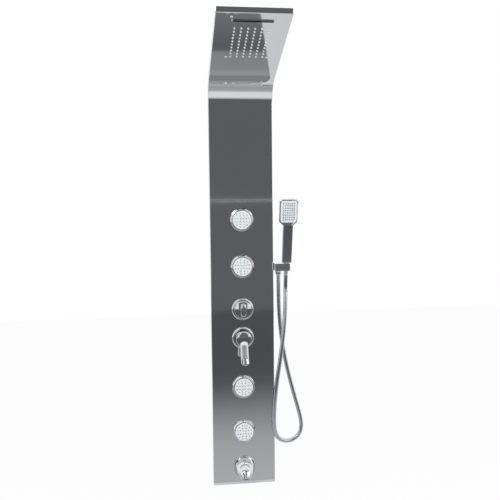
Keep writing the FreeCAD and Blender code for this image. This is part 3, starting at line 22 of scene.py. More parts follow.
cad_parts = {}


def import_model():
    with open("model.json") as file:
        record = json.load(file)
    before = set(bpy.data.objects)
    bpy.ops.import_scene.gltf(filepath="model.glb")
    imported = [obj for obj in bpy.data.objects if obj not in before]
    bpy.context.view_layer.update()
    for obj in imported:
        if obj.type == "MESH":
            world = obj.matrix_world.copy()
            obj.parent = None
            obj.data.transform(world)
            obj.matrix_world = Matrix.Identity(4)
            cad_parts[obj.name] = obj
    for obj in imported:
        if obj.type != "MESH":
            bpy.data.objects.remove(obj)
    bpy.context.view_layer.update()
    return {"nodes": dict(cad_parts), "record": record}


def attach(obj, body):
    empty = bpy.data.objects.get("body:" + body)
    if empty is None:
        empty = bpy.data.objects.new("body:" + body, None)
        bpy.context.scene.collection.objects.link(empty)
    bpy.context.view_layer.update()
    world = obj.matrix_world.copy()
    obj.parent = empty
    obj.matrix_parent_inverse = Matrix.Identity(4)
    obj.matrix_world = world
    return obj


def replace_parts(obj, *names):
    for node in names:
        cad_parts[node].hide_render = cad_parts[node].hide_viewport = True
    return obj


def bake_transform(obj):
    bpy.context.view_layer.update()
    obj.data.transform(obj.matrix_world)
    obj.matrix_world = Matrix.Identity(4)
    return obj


log = logging.getLogger("shower_panel")

Corner = tuple[float, float, float]

MM = 0.001
FACE_Y = -0.055
BOTTOM_Z = -1.130
# The middle of the socket that the handset hangs in, and how far the handset leans forward.
SOCKET_X, SOCKET_OUT, SOCKET_HEIGHT = 138.8, 12.0, 705.75
HANDSET_TILT = 14.0
# How far the pipe tails of jets and spout lie behind the face.
TAIL_OUT = -16.0
# A rounding takes at most this share of a side, so that two of them never meet.
ROUNDING_SHARE = 0.49
# A mix node's sockets for colours, by number, because its names repeat for each kind of value.
COLOUR_A, COLOUR_B, COLOUR_OUT = 6, 7, 2
# Noise seldom leaves this range, so a finish's range of roughness is spread over it.
NOISE_LOW, NOISE_HIGH = 0.35, 0.65
# The slow change of gloss and tone is this many times as wide as the grain.
BROAD_TIMES = 14
# A grain's height beside its width, and its scale along the strokes where it is brushed.
GRAIN_HEIGHT = 0.1
BRUSH_SCALE = 0.04


# ------------------------------------------------------------------ colours and shader nodes


def linear(hex_colour: str) -> tuple[float, float, float, float]:
    """Turns an sRGB hex colour into linear RGBA.

    Args:
        hex_colour: six hex digits, such as "8a8c8f".

    Returns:
        Red, green, blue and an alpha of one.
    """
    channels = np.array([int(hex_colour[i : i + 2], 16) for i in (0, 2, 4)]) / 255
    straight = np.where(channels <= 0.04045, channels / 12.92, ((channels + 0.055) / 1.055) ** 2.4)
    return (*(float(c) for c in straight), 1.0)


def add(tree: bpy.types.NodeTree, kind: str, inputs: dict | None = None, **settings) -> bpy.types.Node:
    """Adds a node to a tree.

    Args:
        tree: the node tree.
        kind: the node's class, such as "ShaderNodeTexNoise".
        inputs: a value or an output socket for each input, by name or number.
        settings: the node's own properties.

    Returns:
        The new node.
    """
    node = tree.nodes.new(kind)
    for name, value in settings.items():
        setattr(node, name, value)
    for name, value in (inputs or {}).items():
        if isinstance(value, bpy.types.NodeSocket):
            tree.links.new(value, node.inputs[name])
        else:
            node.inputs[name].default_value = value
    return node


def empty_tree(owner: bpy.types.Material | bpy.types.World) -> bpy.types.NodeTree:
    """Switches on a material's or world's nodes and clears them.

    Args:
        owner: the material or world.

    Returns:
        Its node tree, empty.
    """
    owner.use_nodes = True
    owner.node_tree.nodes.clear()
    return owner.node_tree


class Grain(Enum):
    """How a surface's fine relief runs."""

    CAST = "cast"
    MOULDED = "moulded"
    BRUSHED_LEVEL = "brushed level"
    POLISHED = "polished"


@dataclass(frozen=True)
class Finish:
    """A surface finish: what the stuff is and how its surface was made.

    The grain's size is metres. Real grains of 0.1 to 1 mm are too fine to show at this distance, so
    they are drawn as coarse as they need to be to show.
    """

    name: str
    colour: str
    metallic: float
    roughness: float
    grain: Grain
    grain_size: float
    relief: float
    roughness_spread: float = 0.04
    coat: float = 0.0
    ior: float = 1.5
    tint: str | None = None

    def stretch(self) -> tuple[float, float, float]:
        """The grain's scale along each axis; brushing draws it out sideways."""
        return (BRUSH_SCALE, 1.0, 1.0) if self.grain is Grain.BRUSHED_LEVEL else (1.0, 1.0, 1.0)

    def make(self) -> bpy.types.Material:
        """Builds the node material: fine noise for relief, broad noise for gloss and tone.

        Returns:
            The new material.
        """
        material = bpy.data.materials.new(self.name)
        tree = empty_tree(material)
        place = add(tree, "ShaderNodeTexCoord")
        drawn = add(tree, "ShaderNodeMapping", {"Vector": place.outputs["Object"], "Scale": self.stretch()})
        fine = add(
            tree,
            "ShaderNodeTexNoise",
            {
                "Vector": drawn.outputs["Vector"],
                "Scale": 1 / self.grain_size,
                "Detail": 3.0,
                "Roughness": 0.6,
            },
        )
        broad = add(
            tree,
            "ShaderNodeTexNoise",
            {
                "Vector": place.outputs["Object"],
                "Scale": 1 / (BROAD_TIMES * self.grain_size),
                "Detail": 2.0,
            },
        )
        rough = add(
            tree,
            "ShaderNodeMapRange",
            {
                "Value": broad.outputs["Fac"],
                "From Min": NOISE_LOW,
                "From Max": NOISE_HIGH,
                "To Min": max(0.0, self.roughness - self.roughness_spread / 2),
                "To Max": self.roughness + self.roughness_spread / 2,
            },
        )
        relief = add(
            tree,
            "ShaderNodeBump",
            {
                "Height": fine.outputs["Fac"],
                "Strength": self.relief,
                "Distance": GRAIN_HEIGHT * self.grain_size,
            },
        )
        tone = add(tree, "ShaderNodeMix", {0: broad.outputs["Fac"]}, data_type="RGBA")
        tone.inputs[COLOUR_A].default_value = linear(self.colour)
        tone.inputs[COLOUR_B].default_value = linear(self.tint or self.colour)
        shader = add(
            tree,
            "ShaderNodeBsdfPrincipled",
            {
                "Base Color": tone.outputs[COLOUR_OUT],
                "Metallic": self.metallic,
                "Roughness": rough.outputs["Result"],
                "Normal": relief.outputs["Normal"],
                "Coat Weight": self.coat,
                "IOR": self.ior,
            },
        )
        add(tree, "ShaderNodeOutputMaterial", {"Surface": shader.outputs["BSDF"]})
        return material


# Polished stainless sheet: a slightly soft mirror that looks as dark as the room before it.
POLISHED_SHEET = Finish(
    "polished_stainless_sheet", "d6d7d9", metallic=1.0, roughness=0.06, grain=Grain.POLISHED,
    grain_size=0.03, relief=0.012, roughness_spread=0.03, tint="d0d1d3",
)
# Bright chrome plate on moulded or cast parts: the sharpest mirror here.
BRIGHT_CHROME = Finish(
    "bright_chrome_plate", "e4e5e7", metallic=1.0, roughness=0.045, grain=Grain.POLISHED,
    grain_size=0.02, relief=0.008, roughness_spread=0.02, tint="dcdee0",
)
# Chromed strip wound into a hose: a soft mirror with long grey streaks.
HOSE_CHROME = Finish(
    "chromed_hose_strip", "d6d7da", metallic=1.0, roughness=0.16, grain=Grain.POLISHED,
    grain_size=0.004, relief=0.05, tint="c6c8cb",
)
# Gloss-moulded ABS: white with a sharp weak shine.
WHITE_ABS = Finish(
    "white_abs_moulding", "f0f2f4", metallic=0.0, roughness=0.22, grain=Grain.MOULDED,
    grain_size=0.002, relief=0.02, coat=0.15, tint="eaedf0",
)
# Moulded nitrile rubber: near black and dull.
DARK_RUBBER = Finish(
    "dark_nitrile_rubber", "2a2b2e", metallic=0.0, roughness=0.55, grain=Grain.MOULDED,
    grain_size=0.001, relief=0.2, tint="323336",
)
# Moulded silicone: pale, milky and satin.
PALE_SILICONE = Finish(
    "pale_silicone", "fafaf8", metallic=0.0, roughness=0.42, grain=Grain.MOULDED,
    grain_size=0.001, relief=0.1, tint="f4f4f2",
)
# Moulded glass-filled polyamide: dull grey with a faint grain.
GREY_POLYAMIDE = Finish(
    "grey_polyamide_moulding", "6f7175", metallic=0.0, roughness=0.5, grain=Grain.MOULDED,
    grain_size=0.0012, relief=0.25, tint="66686c",
)
# Moulded polypropylene of the water box: off-white and a little waxy.
WHITE_POLYPROPYLENE = Finish(
    "white_polypropylene_moulding", "d4d5d4", metallic=0.0, roughness=0.4, grain=Grain.MOULDED,
    grain_size=0.0015, relief=0.15, tint="cbccca",
)
# Sand-cast brass, left raw: yellow, rough and only faintly shiny.
CAST_BRASS = Finish(
    "sand_cast_brass", "b99a55", metallic=1.0, roughness=0.42, grain=Grain.CAST,
    grain_size=0.0015, relief=0.45, roughness_spread=0.1, tint="a88a48",
)
# Extruded cross-linked polyethylene pipe: milky white and satin.
MILKY_POLYETHYLENE = Finish(
    "milky_polyethylene_pipe", "e2e2dd", metallic=0.0, roughness=0.36, grain=Grain.MOULDED,
    grain_size=0.003, relief=0.08, tint="d8d8d2",
)
# Brushed stainless strip: grey, with reflections drawn out across level strokes.
BRUSHED_STAINLESS = Finish(
    "brushed_stainless_strip", "b4b6b9", metallic=1.0, roughness=0.32, grain=Grain.BRUSHED_LEVEL,
    grain_size=0.0012, relief=0.3, roughness_spread=0.08, tint="a6a8ab",
)
# Painted shade: the mouth's inner wall and ends are coloured nearly black and matt, standing in for the shade
# inside the slot.
PAINTED_SHADE = Finish(
    "painted_shade_mouth_wall", "0a0a0b", metallic=0.0, roughness=0.9, grain=Grain.MOULDED,
    grain_size=0.002, relief=0.1, tint="080809",
)

SLOT_FINISH = {
    "dark_panel": POLISHED_SHEET,
    "chrome": BRIGHT_CHROME,
    "hose_metal": HOSE_CHROME,
    "white_face": WHITE_ABS,
    "black_rubber": DARK_RUBBER,
    "silicone": PALE_SILICONE,
    "grey_plastic": GREY_POLYAMIDE,
    "water_box": WHITE_POLYPROPYLENE,
    "brass": CAST_BRASS,
    "pipe_plastic": MILKY_POLYETHYLENE,
    "steel": BRUSHED_STAINLESS,
}
_made: dict[str, bpy.types.Material] = {}


def material_of(finish: Finish) -> bpy.types.Material:
    """The finish's material, made once.

    Args:
        finish: the finish.

    Returns:
        Its material.
    """
    if finish.name not in _made:
        _made[finish.name] = finish.make()
    return _made[finish.name]


# ------------------------------------------------------------------ surfaces


def piece_from(
    name: str,
    points: np.ndarray,
    faces: Sequence[Sequence[int]],
    finish: Finish,
    body: str | None,
    sharp: float = 40,
) -> bpy.types.Object:
    """Makes a piece from worked-out points and faces.

    Args:
        name: the piece's name.
        points: an array of points, n by 3.
        faces: corner numbers of each face.
        finish: its finish.
        body: the body it rides on, or None, which leaves it on no body.
        sharp: edges that turn by more than this many degrees stay sharp.

    Returns:
        The new object.
    """
    mesh = bpy.data.meshes.new(name)
    mesh.from_pydata(points.tolist(), [], [list(f) for f in faces])
    mesh.validate()
    mesh.shade_smooth()
    mesh.set_sharp_from_angle(angle=math.radians(sharp))
    mesh.materials.append(material_of(finish))
    made = bpy.data.objects.new(name, mesh)
    bpy.context.scene.collection.objects.link(made)
    if body is not None:
        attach(made, body)
    log.info("%s: %d points on %s", name, len(points), body)
    return made


def sheet_faces(rows: int, columns: int, round_columns: bool = False, first: int = 0) -> np.ndarray:
    """Faces of a grid of points, row after row.

    Args:
        rows: number of rows.
        columns: points in a row.
        round_columns: True if a row's last point joins its first.
        first: number of the grid's first point.

    Returns:
        An array of faces, n by 4.
    """
    across = columns if round_columns else columns - 1
    row, column = np.meshgrid(np.arange(rows - 1), np.arange(across), indexing="ij")
    beside = (column + 1) % columns
    here, above = row * columns, (row + 1) * columns
    corners = [here + column, here + beside, above + beside, above + column]
    return np.stack(corners, axis=-1).reshape(-1, 4) + first


def skin_faces(rows: int, columns: int, first: int = 0) -> list[list[int]]:
    """Faces of a closed skin over rings of points, with one flat face over each end.

    Args:
        rows: number of rings.
        columns: points in a ring.
        first: number of the first ring's first point.

    Returns:
        The corner numbers of each face; the two ends come last.
    """
    faces = sheet_faces(rows, columns, True, first).tolist()
    faces.append([first + i for i in range(columns)][::-1])
    faces.append([first + (rows - 1) * columns + i for i in range(columns)])
    return faces


def outwards(made: bpy.types.Object) -> bpy.types.Object:
    """Turns a closed piece's faces outwards, by the sign of its volume.

    Args:
        made: the piece.

    Returns:
        The same piece.
    """
    mesh = made.data
    mesh.calc_loop_triangles()
    corners = np.empty(len(mesh.vertices) * 3)
    mesh.vertices.foreach_get("co", corners)
    corners = corners.reshape(-1, 3)
    triangles = np.empty(len(mesh.loop_triangles) * 3, dtype=np.int32)
    mesh.loop_triangles.foreach_get("vertices", triangles)
    a, b, c = (corners[triangles.reshape(-1, 3)[:, i]] for i in range(3))
    if np.einsum("ij,ij->i", a, np.cross(b, c)).sum() < 0:
        mesh.flip_normals()
    return made


def soften(corners: Sequence[Corner], steps: int = 4) -> np.ndarray:
    """Rounds an outline's corners.

    A rounded corner becomes a curve whose points are (1-t)^2 a + 2 t (1-t) corner + t^2 b, between
    points a and b that lie one rounding away from the corner along its sides.

    Args:
        corners: the outline as (u, v, rounding).
        steps: parts that each curve is cut into.

    Returns:
        The outline's points, n by 2.
    """
    points = []
    flat = [np.array(corner[:2], float) for corner in corners]
    for index, (u, v, radius) in enumerate(corners):
        here = np.array([u, v], float)
        if radius <= 0 or index in (0, len(corners) - 1):
            points.append(here)
            continue
        ends = []
        for side in (flat[index - 1] - here, flat[index + 1] - here):
            length = np.linalg.norm(side)
            ends.append(here + side / length * min(radius, ROUNDING_SHARE * length))
        for t in np.linspace(0, 1, steps + 1):
            points.append((1 - t) ** 2 * ends[0] + 2 * t * (1 - t) * here + t**2 * ends[1])
    return np.array(points)


def superellipse(half_width: float, half_depth: float, power: float, count: int) -> np.ndarray:
    """A rounded rectangle as |u/a|^p + |v/b|^p = 1, in points of equal angle.

    Args:
        half_width: a, the reach along u.
        half_depth: b, the reach along v.
        power: p, higher for squarer corners.
        count: number of points.

    Returns:
        The outline's points, count by 2.
    """
    angle = np.linspace(0, 2 * np.pi, count, endpoint=False)
    c, s = np.cos(angle), np.sin(angle)
    reach = (np.abs(c / half_width) ** power + np.abs(s / half_depth) ** power) ** (-1 / power)
    return np.stack([reach * c, reach * s], axis=-1)


def stadium(half_length: float, half_width: float, count: int = 56) -> np.ndarray:
    """A slot's outline: two half circles joined by straight runs.

    Args:
        half_length: its reach along u.
        half_width: its reach along v, which is the half circles' radius.
        count: number of points, even.

    Returns:
        The outline's points, count by 2.
    """
    turn = np.linspace(-np.pi / 2, np.pi / 2, count // 2)
    right = [half_length - half_width + half_width * np.cos(turn), half_width * np.sin(turn)]
    right = np.stack(right, axis=-1)
    return np.concatenate([right, -right])


def drawn_in(past: np.ndarray, radius: float) -> np.ndarray:
    """How far a quarter circle draws a side in, as r - sqrt(r^2 - d^2).

    Args:
        past: d, the distance past the quarter circle's start at each place.
        radius: r, in the same unit.

    Returns:
        The distance drawn in at each place.
    """
    depth = np.clip(past, 0, radius)
    return radius - np.sqrt(np.clip(radius**2 - depth**2, 0, radius**2))


class Spin(Enum):
    """The direction of an axis that a profile is turned about."""

    OUT = "out"
    UP = "up"


@dataclass(frozen=True)
class Axis:
    """A place and three directions that a piece is drawn in."""

    origin: np.ndarray
    right: np.ndarray
    out: np.ndarray
    up: np.ndarray

    def put(self, right: np.ndarray | float, out: np.ndarray | float, up: np.ndarray | float) -> np.ndarray:
        """Points from their distances along the three directions.

        Args:
            right: metres along the first direction, a number or an array.
            out: metres along the second.
            up: metres along the third.

        Returns:
            The points, in the arrays' common shape with 3 added.
        """
        right, out, up = np.broadcast_arrays(right, out, up)
        across = self.origin + right[..., None] * self.right
        return across + out[..., None] * self.out + up[..., None] * self.up

    def revolve(self, profile: np.ndarray, segments: int, spin: Spin = Spin.OUT) -> np.ndarray:
        """Rings of a profile turned round one of the directions: r cos and r sin across, d along.

        Args:
            profile: (radius, distance) in metres, n by 2.
            segments: points in a ring.
            spin: the direction to turn about.

        Returns:
            The rings' points, one ring after another.
        """
        turn = np.linspace(0, 2 * np.pi, segments, endpoint=False)
        radius, along = profile[:, :1], np.broadcast_to(profile[:, 1:], (len(profile), segments))
        first, second = radius * np.cos(turn), radius * np.sin(turn)
        if spin is Spin.OUT:
            return self.put(first, along, second).reshape(-1, 3)
        return self.put(first, second, along).reshape(-1, 3)

    def moved(self, right: float, out: float, up: float) -> Axis:
        """The same directions from another place, given in metres from this one."""
        return Axis(self.put(right, out, up), self.right, self.out, self.up)

    def tilted(self, degrees: float) -> Axis:
        """The axis leaned forward: its out turns down and its up turns out."""
        c, s = math.cos(math.radians(degrees)), math.sin(math.radians(degrees))
        return Axis(self.origin, self.right, c * self.out - s * self.up, c * self.up + s * self.out)


def panel_axis(x: float, out: float, height: float) -> Axis:
    """An axis standing on the panel's face, in millimetres from its middle, face and bottom."""
    origin = np.array([x * MM, FACE_Y - out * MM, BOTTOM_Z + height * MM])
    return Axis(origin, np.array([1.0, 0, 0]), np.array([0, -1.0, 0]), np.array([0, 0, 1.0]))


def turned_piece(
    name: str,
    axis: Axis,
    corners: Sequence[Corner],
    finish: Finish,
    body: str,
    segments: int = 96,
    spin: Spin = Spin.OUT,
) -> bpy.types.Object:
    """A piece turned from an outline, closed where the outline meets the axis.

    Args:
        name: the piece's name.
        axis: where it stands.
        corners: (radius, distance, rounding) in millimetres.
        finish: its finish.
        body: the body it rides on.
        segments: flats round it.
        spin: the direction to turn about.

    Returns:
        The new object.
    """
    profile = soften(corners) * MM
    points = axis.revolve(profile, segments, spin)
    return outwards(piece_from(name, points, skin_faces(len(profile), segments), finish, body))


def grown_tips(
    name: str,
    axes: Sequence[Axis],
    corners: Sequence[Corner],
    steps: int,
    sides: int,
    finish: Finish,
    body: str,
) -> bpy.types.Object:
    """One piece made of many equal small tips, each turned about an axis of its own.

    Args:
        name: the piece's name.
        axes: where the tips stand.
        corners: a tip's outline, (radius, distance, rounding) in millimetres.
        steps: parts that each rounding is cut into.
        sides: flats round a tip.
        finish: its finish.
        body: the body it rides on.

    Returns:
        The new object.
    """
    profile = soften(corners, steps) * MM
    points = np.concatenate([axis.revolve(profile, sides) for axis in axes])
    faces = []
    for number in range(len(axes)):
        faces += skin_faces(len(profile), sides, first=number * len(profile) * sides)
    return outwards(piece_from(name, points, faces, finish, body))


def tail_outline(start: float, side: int = 1) -> list[Corner]:
    """A pipe tail's outline: a stub, and the collar that a pipe is pushed on to.

    Args:
        start: distance of the stub's start from the axis's place.
        side: 1 for a tail that points up, -1 for one that points down.

    Returns:
        The outline's corners.
    """
    corners = [(0, start, 0), (6.9, start, 0.3), (6.9, 21, 0.8), (8, 21.6, 0.5), (8, 26, 0.5), (0, 26, 0)]
    return [(radius, along * side, rounding) for radius, along, rounding in corners]


# ------------------------------------------------------------------ the sheet


@dataclass
class Sheet:
    """The bent sheet: front, bend and head plate in one sweep, with flat sides and a closed bottom.

    Depth is measured behind the panel's face, so the head lies at negative depths.
    """

    half_width: float = 100.0
    depth: float = 30.0
    height: float = 1400.0
    reach: float = 352.0
    lip: float = 14.0
    slope: float = 19.0
    rear_slope: float = 16.0
    bend: float = 80.0
    fold: float = 2.0
    tip_round: float = 3.4
    gauge: float = 1.2
    slot_from_tip: float = 33.0
    slot_half_length: float = 51.0
    slot_half_width: float = 4.0
    slot_below_top: float = 100.0
    bottom_inset: float = 1.0
    run_points: int = 40
    bend_steps: int = 48
    fold_steps: int = 6
    plate_stops: tuple[float, ...] = (12.0, 60.0, 120.0, 180.0, 240.0)
    cross_stops: tuple[float, float] = (30.0, 80.0)
    sharp_degrees: float = 30.0

    def _arc(self, centre: tuple[float, float], radius: float, end: float) -> np.ndarray:
        """Points of a bend, as centre + r (cos a, sin a), from level to an end angle.

        Args:
            centre: its centre as (depth, height).
            radius: r.
            end: the end angle in radians.

        Returns:
            The points, one more than the bend's steps, by 2.
        """
        angle = np.linspace(0, end, self.bend_steps + 1)
        return np.stack([centre[0] + radius * np.cos(angle), centre[1] + radius * np.sin(angle)], axis=-1)

    def front_line(self) -> tuple[np.ndarray, np.ndarray]:
        """The visible face's line from the bottom edge to the top of the lip.

        Runs are split at set places, the bend is an arc, and so is the fold between plate and lip.

        Returns:
            The line's points as (depth, height), and the normal at each that points into the sheet.
        """
        slope = math.radians(self.slope)
        half_turn = math.tan((math.pi / 2 - slope) / 2)
        tip = self.height - self.lip
        corner = tip - self.reach * math.tan(slope)
        start = corner - self.bend * half_turn
        run = np.stack([np.zeros(self.run_points), np.linspace(0, start, self.run_points)], axis=-1)
        arc = self._arc((-self.bend, start), self.bend, math.radians(90 - self.slope))
        back = np.array([-math.cos(slope), math.sin(slope)])
        end = np.array([-self.reach, tip])
        near = self.tip_round * half_turn
        slot = (self.slot_from_tip - self.slot_half_width, self.slot_from_tip + self.slot_half_width)
        stops = sorted({*slot, near, *self.plate_stops}, reverse=True)
        plate = np.array([end - back * stop for stop in stops])
        turn = np.linspace(math.pi / 2 - slope, 0, self.fold_steps + 1)[1:]
        fold = [self.tip_round * (1 - np.cos(turn)) - self.reach, tip + near - self.tip_round * np.sin(turn)]
        lip = np.array([[-self.reach, self.height]])
        line = np.concatenate([run, arc[1:], plate, np.stack(fold, axis=-1), lip])
        along = np.gradient(line, axis=0)
        along[0], along[-1] = (0, 1), (0, 1)
        along[1 : self.run_points - 1] = (0, 1)
        along /= np.linalg.norm(along, axis=1)[:, None]
        first_plate = self.run_points + self.bend_steps
        along[first_plate : first_plate + len(plate) - 1] = back
        return line, np.stack([along[:, 1], -along[:, 0]], axis=-1)

    def rear_line(self, rows: int) -> np.ndarray:
        """The sides' rear line, with its bend opposite the front's bend.

        Args:
            rows: number of points, as many as the front line has.

        Returns:
            The line's points as (depth, height).
        """
        slope = math.radians(self.rear_slope)
        radius = self.bend + self.depth
        corner = self.height - (self.reach + self.depth) * math.tan(slope)
        start = corner - radius * math.tan((math.pi / 2 - slope) / 2)
        upright = [np.full(self.run_points, self.depth), np.linspace(0, start, self.run_points)]
        arc = self._arc((self.depth - radius, start), radius, math.pi / 2 - slope)[1:]
        left = rows - self.run_points - self.bend_steps
        share = np.linspace(0, 1, left + 1)[1:, None]
        tip = np.array([-self.reach + self.fold + self.gauge, self.height])
        plate = arc[-1] + share * (tip - arc[-1])
        return np.concatenate([np.stack(upright, axis=-1), arc, plate])

    def section(self) -> tuple[np.ndarray, np.ndarray]:
        """The front's cross line, whose ends are quarter circles of the fold.

        Returns:
            Each point's x, and how far it lies behind the visible face.
        """
        turn = np.linspace(0, math.pi / 2, self.fold_steps + 1)
        x_left = -self.half_width + self.fold * (1 - np.cos(turn))
        in_left = self.fold * (1 - np.sin(turn))
        inner, outer = self.cross_stops
        slot = self.slot_half_length
        flat = np.array([-outer, -slot, -inner, 0, inner, slot, outer])
        x = np.concatenate([x_left, flat, -x_left[::-1]])
        inward = np.concatenate([in_left, np.zeros(len(flat)), in_left[::-1]])
        return x, inward

    def build(self) -> None:
        """Makes the front, the two sides and the bottom, which together stand for the sheet."""
        line, normal = self.front_line()
        x, inward = self.section()
        rows, columns = len(line), len(x)
        depth = line[:, None, 0] + inward[None, :] * normal[:, None, 0]
        height = line[:, None, 1] + inward[None, :] * normal[:, None, 1]
        points = np.stack([np.broadcast_to(x, (rows, columns)), depth, height], axis=-1).reshape(-1, 3)
        faces = sheet_faces(rows, columns)
        centre = points[faces].mean(axis=1)
        from_tip = ((points[:, 1] + self.reach) / math.cos(math.radians(self.slope)))[faces].mean(axis=1)
        in_slot = (
            (np.abs(from_tip - self.slot_from_tip) < self.slot_half_width)
            & (np.abs(centre[:, 0]) < self.slot_half_length)
            & (centre[:, 2] > self.height - self.slot_below_top)
        )
        front = self._walls("sheet_front", points, faces[~in_slot], (0, -1, 0))
        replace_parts(front, "panel_shell")
        flat = np.stack([line + self.fold * normal, self.rear_line(rows)], axis=1)
        for side, label in ((-1, "left"), (1, "right")):
            wall = np.concatenate([np.full((rows, 2, 1), side * self.half_width), flat], axis=-1)
            made = self._walls(f"sheet_{label}_side", wall.reshape(-1, 3), sheet_faces(rows, 2), (side, 0, 0))
            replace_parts(made, "panel_shell")
        inner, near, far = self.half_width - self.fold, self.bottom_inset, self.depth
        corners = np.array([[-inner, near, 0], [inner, near, 0], [inner, far, 0], [-inner, far, 0]])
        floor = self._walls("sheet_bottom", corners, np.array([[0, 1, 2, 3]]), (0, 0, -1))
        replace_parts(floor, "panel_shell")

    def _walls(
        self, name: str, points: np.ndarray, faces: np.ndarray, outward: tuple[int, int, int]
    ) -> bpy.types.Object:
        """Turns one surface into a wall of the sheet's gauge, which lies behind the surface.

        Args:
            name: the piece's name.
            points: (x, depth, height) in millimetres, n by 3.
            faces: corner numbers of each face.
            outward: the direction that its first face looks in.

        Returns:
            The new object.
        """
        places = [points[:, 0] * MM, FACE_Y + points[:, 1] * MM, BOTTOM_Z + points[:, 2] * MM]
        world = np.stack(places, axis=-1)
        made = piece_from(name, world, faces.tolist(), POLISHED_SHEET, "panel")
        mesh = made.data
        if mesh.polygons[0].normal.dot(Vector(outward)) < 0:
            mesh.flip_normals()
        wall = made.modifiers.new("gauge", "SOLIDIFY")
        wall.thickness = self.gauge * MM
        wall.offset = -1
        thick = made.evaluated_get(bpy.context.evaluated_depsgraph_get())
        made.data = bpy.data.meshes.new_from_object(thick)
        made.modifiers.clear()
        made.data.set_sharp_from_angle(angle=math.radians(self.sharp_degrees))
        even = made.modifiers.new("even_shading", "WEIGHTED_NORMAL")
        even.keep_sharp = True
        return made


@dataclass(frozen=True)
class Plate:
    """Places on the head plate: x, distance from its tip along it, and distance below it."""

    sheet: Sheet

    def axis(self, x: float, along: float, below: float) -> Axis:
        """An axis that stands on the plate's visible side; its out points down off the plate.

        Args:
            x: millimetres from the middle.
            along: millimetres from the tip, back along the plate.
            below: millimetres below the plate.

        Returns:
            The axis.
        """
        slope = math.radians(self.sheet.slope)
        c, s = math.cos(slope), math.sin(slope)
        out = self.sheet.reach - along * c + below * s
        height = self.sheet.height - self.sheet.lip - along * s - below * c
        at = panel_axis(x, out, height).origin
        return Axis(at, np.array([1.0, 0, 0]), np.array([0, -s, -c]), np.array([0, -c, s]))


@dataclass
class HeadFittings:
    """Rain nozzles, screws and the waterfall's mouth on the head plate."""

    plate: Plate
    columns: int = 6
    rows: int = 10
    column_pitch: float = 18.3
    row_pitch: float = 14.8
    first_row: float = 67.0
    mat_margin: float = 7.0
    mat_above: float = 1.2
    mat_gauge: float = 1.8
    mat_power: float = 12.0
    mouth_along: float = 33.0
    mouth_half_length: float = 56.0
    mouth_half_width: float = 4.2
    screw_x: float = 57.5
    screw_rows: tuple[float, float] = (18.0, 203.5)

    def nozzles(self) -> None:
        """Sixty soft nozzles with rounded tips, and the mat they grow from."""
        corners = [(0, 2.2, 0), (1.9, 2.2, 0.7), (2.7, 0.4, 0.4), (2.8, -0.6, 0), (0, -0.6, 0)]
        half = (self.columns - 1) / 2
        axes = [
            self.plate.axis((column - half) * self.column_pitch, self.first_row + row * self.row_pitch, 0)
            for column in range(self.columns)
            for row in range(self.rows)
        ]
        made = grown_tips("rain_nozzle_tips", axes, corners, 3, 12, PALE_SILICONE, "panel")
        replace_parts(made, "rain_nozzle_mat")
        half_width = half * self.column_pitch + self.mat_margin
        low = self.first_row - self.mat_margin
        high = self.first_row + (self.rows - 1) * self.row_pitch + self.mat_margin
        outline = superellipse(half_width * MM, (high - low) / 2 * MM, self.mat_power, 64)
        middle = self.plate.axis(0, (low + high) / 2, -self.mat_above)
        rings = [middle.put(outline[:, 0], -drop * MM, outline[:, 1]) for drop in (0.0, self.mat_gauge)]
        points, faces = np.concatenate(rings), skin_faces(len(rings), len(outline))
        mat = piece_from("rain_nozzle_sheet", points, faces, PALE_SILICONE, "panel")
        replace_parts(outwards(mat), "rain_nozzle_mat")

    def mouth(self) -> None:
        """The waterfall's flattened tube: an outer and an inner wall, joined by a rounded rim.

        Each ring is drawn in by an inset and lies a distance below the plate. The band from the fifth ring to
        the last is the inner wall; it and the two ends carry painted shade, a near-black colour that stands
        in for the shade inside the slot.
        """
        axis = self.plate.axis(0, self.mouth_along, 0)
        walls = []
        for inset, out in ((0, -9), (0, 2.0), (0.5, 2.5), (1.1, 2.5), (1.6, 2.0), (1.6, -8.6)):
            outline = stadium(self.mouth_half_length - inset, self.mouth_half_width - inset)
            walls.append(axis.put(outline[:, 0] * MM, out * MM, outline[:, 1] * MM))
        sides = len(outline)
        faces = skin_faces(len(walls), sides)
        made = piece_from("waterfall_lips", np.concatenate(walls), faces, BRIGHT_CHROME, "panel")
        made.data.materials.append(material_of(PAINTED_SHADE))
        # The inner wall and both ends take the painted shade material; the other faces stay chrome.
        bright_faces = (len(walls) - 2) * sides
        dark = np.arange(len(made.data.polygons)) >= bright_faces
        made.data.polygons.foreach_set("material_index", dark.astype(np.int32))
        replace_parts(outwards(made), "waterfall_mouth")

    def screws(self) -> None:
        """Four round screw heads, each with a cross sunk in it as exp(-(w/w0)^4) of its depth."""
        reach, depth, half_slot, sides = 1.7, 0.9, 0.32, 48
        turn = np.linspace(0, 2 * np.pi, sides, endpoint=False)
        radii = np.array([0.001, 0.9, 1.5, 1.9, 2.6, 3.2, 3.6, 3.6])[:, None]
        rise = np.array([1.8, 1.78, 1.74, 1.7, 1.45, 1.0, 0.4, 0.0])[:, None]
        from_line = np.minimum(abs(np.cos(turn)), abs(np.sin(turn))) * radii
        sunk = np.where(radii < reach, depth * np.exp(-((from_line / half_slot) ** 4)), 0)
        places = [(x, along) for along in self.screw_rows for x in (-self.screw_x, self.screw_x)]
        for number, (x, along) in enumerate(places, 1):
            axis = self.plate.axis(x, along, 0)
            rings = axis.put(radii * np.cos(turn) * MM, (rise - sunk) * MM, radii * np.sin(turn) * MM)
            faces = skin_faces(len(radii), sides)
            rings = rings.reshape(-1, 3)
            made = piece_from(f"head_screw_{number}", rings, faces, BRIGHT_CHROME, "panel")
            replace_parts(outwards(made), "head_screws")


# ------------------------------------------------------------------ jets and controls


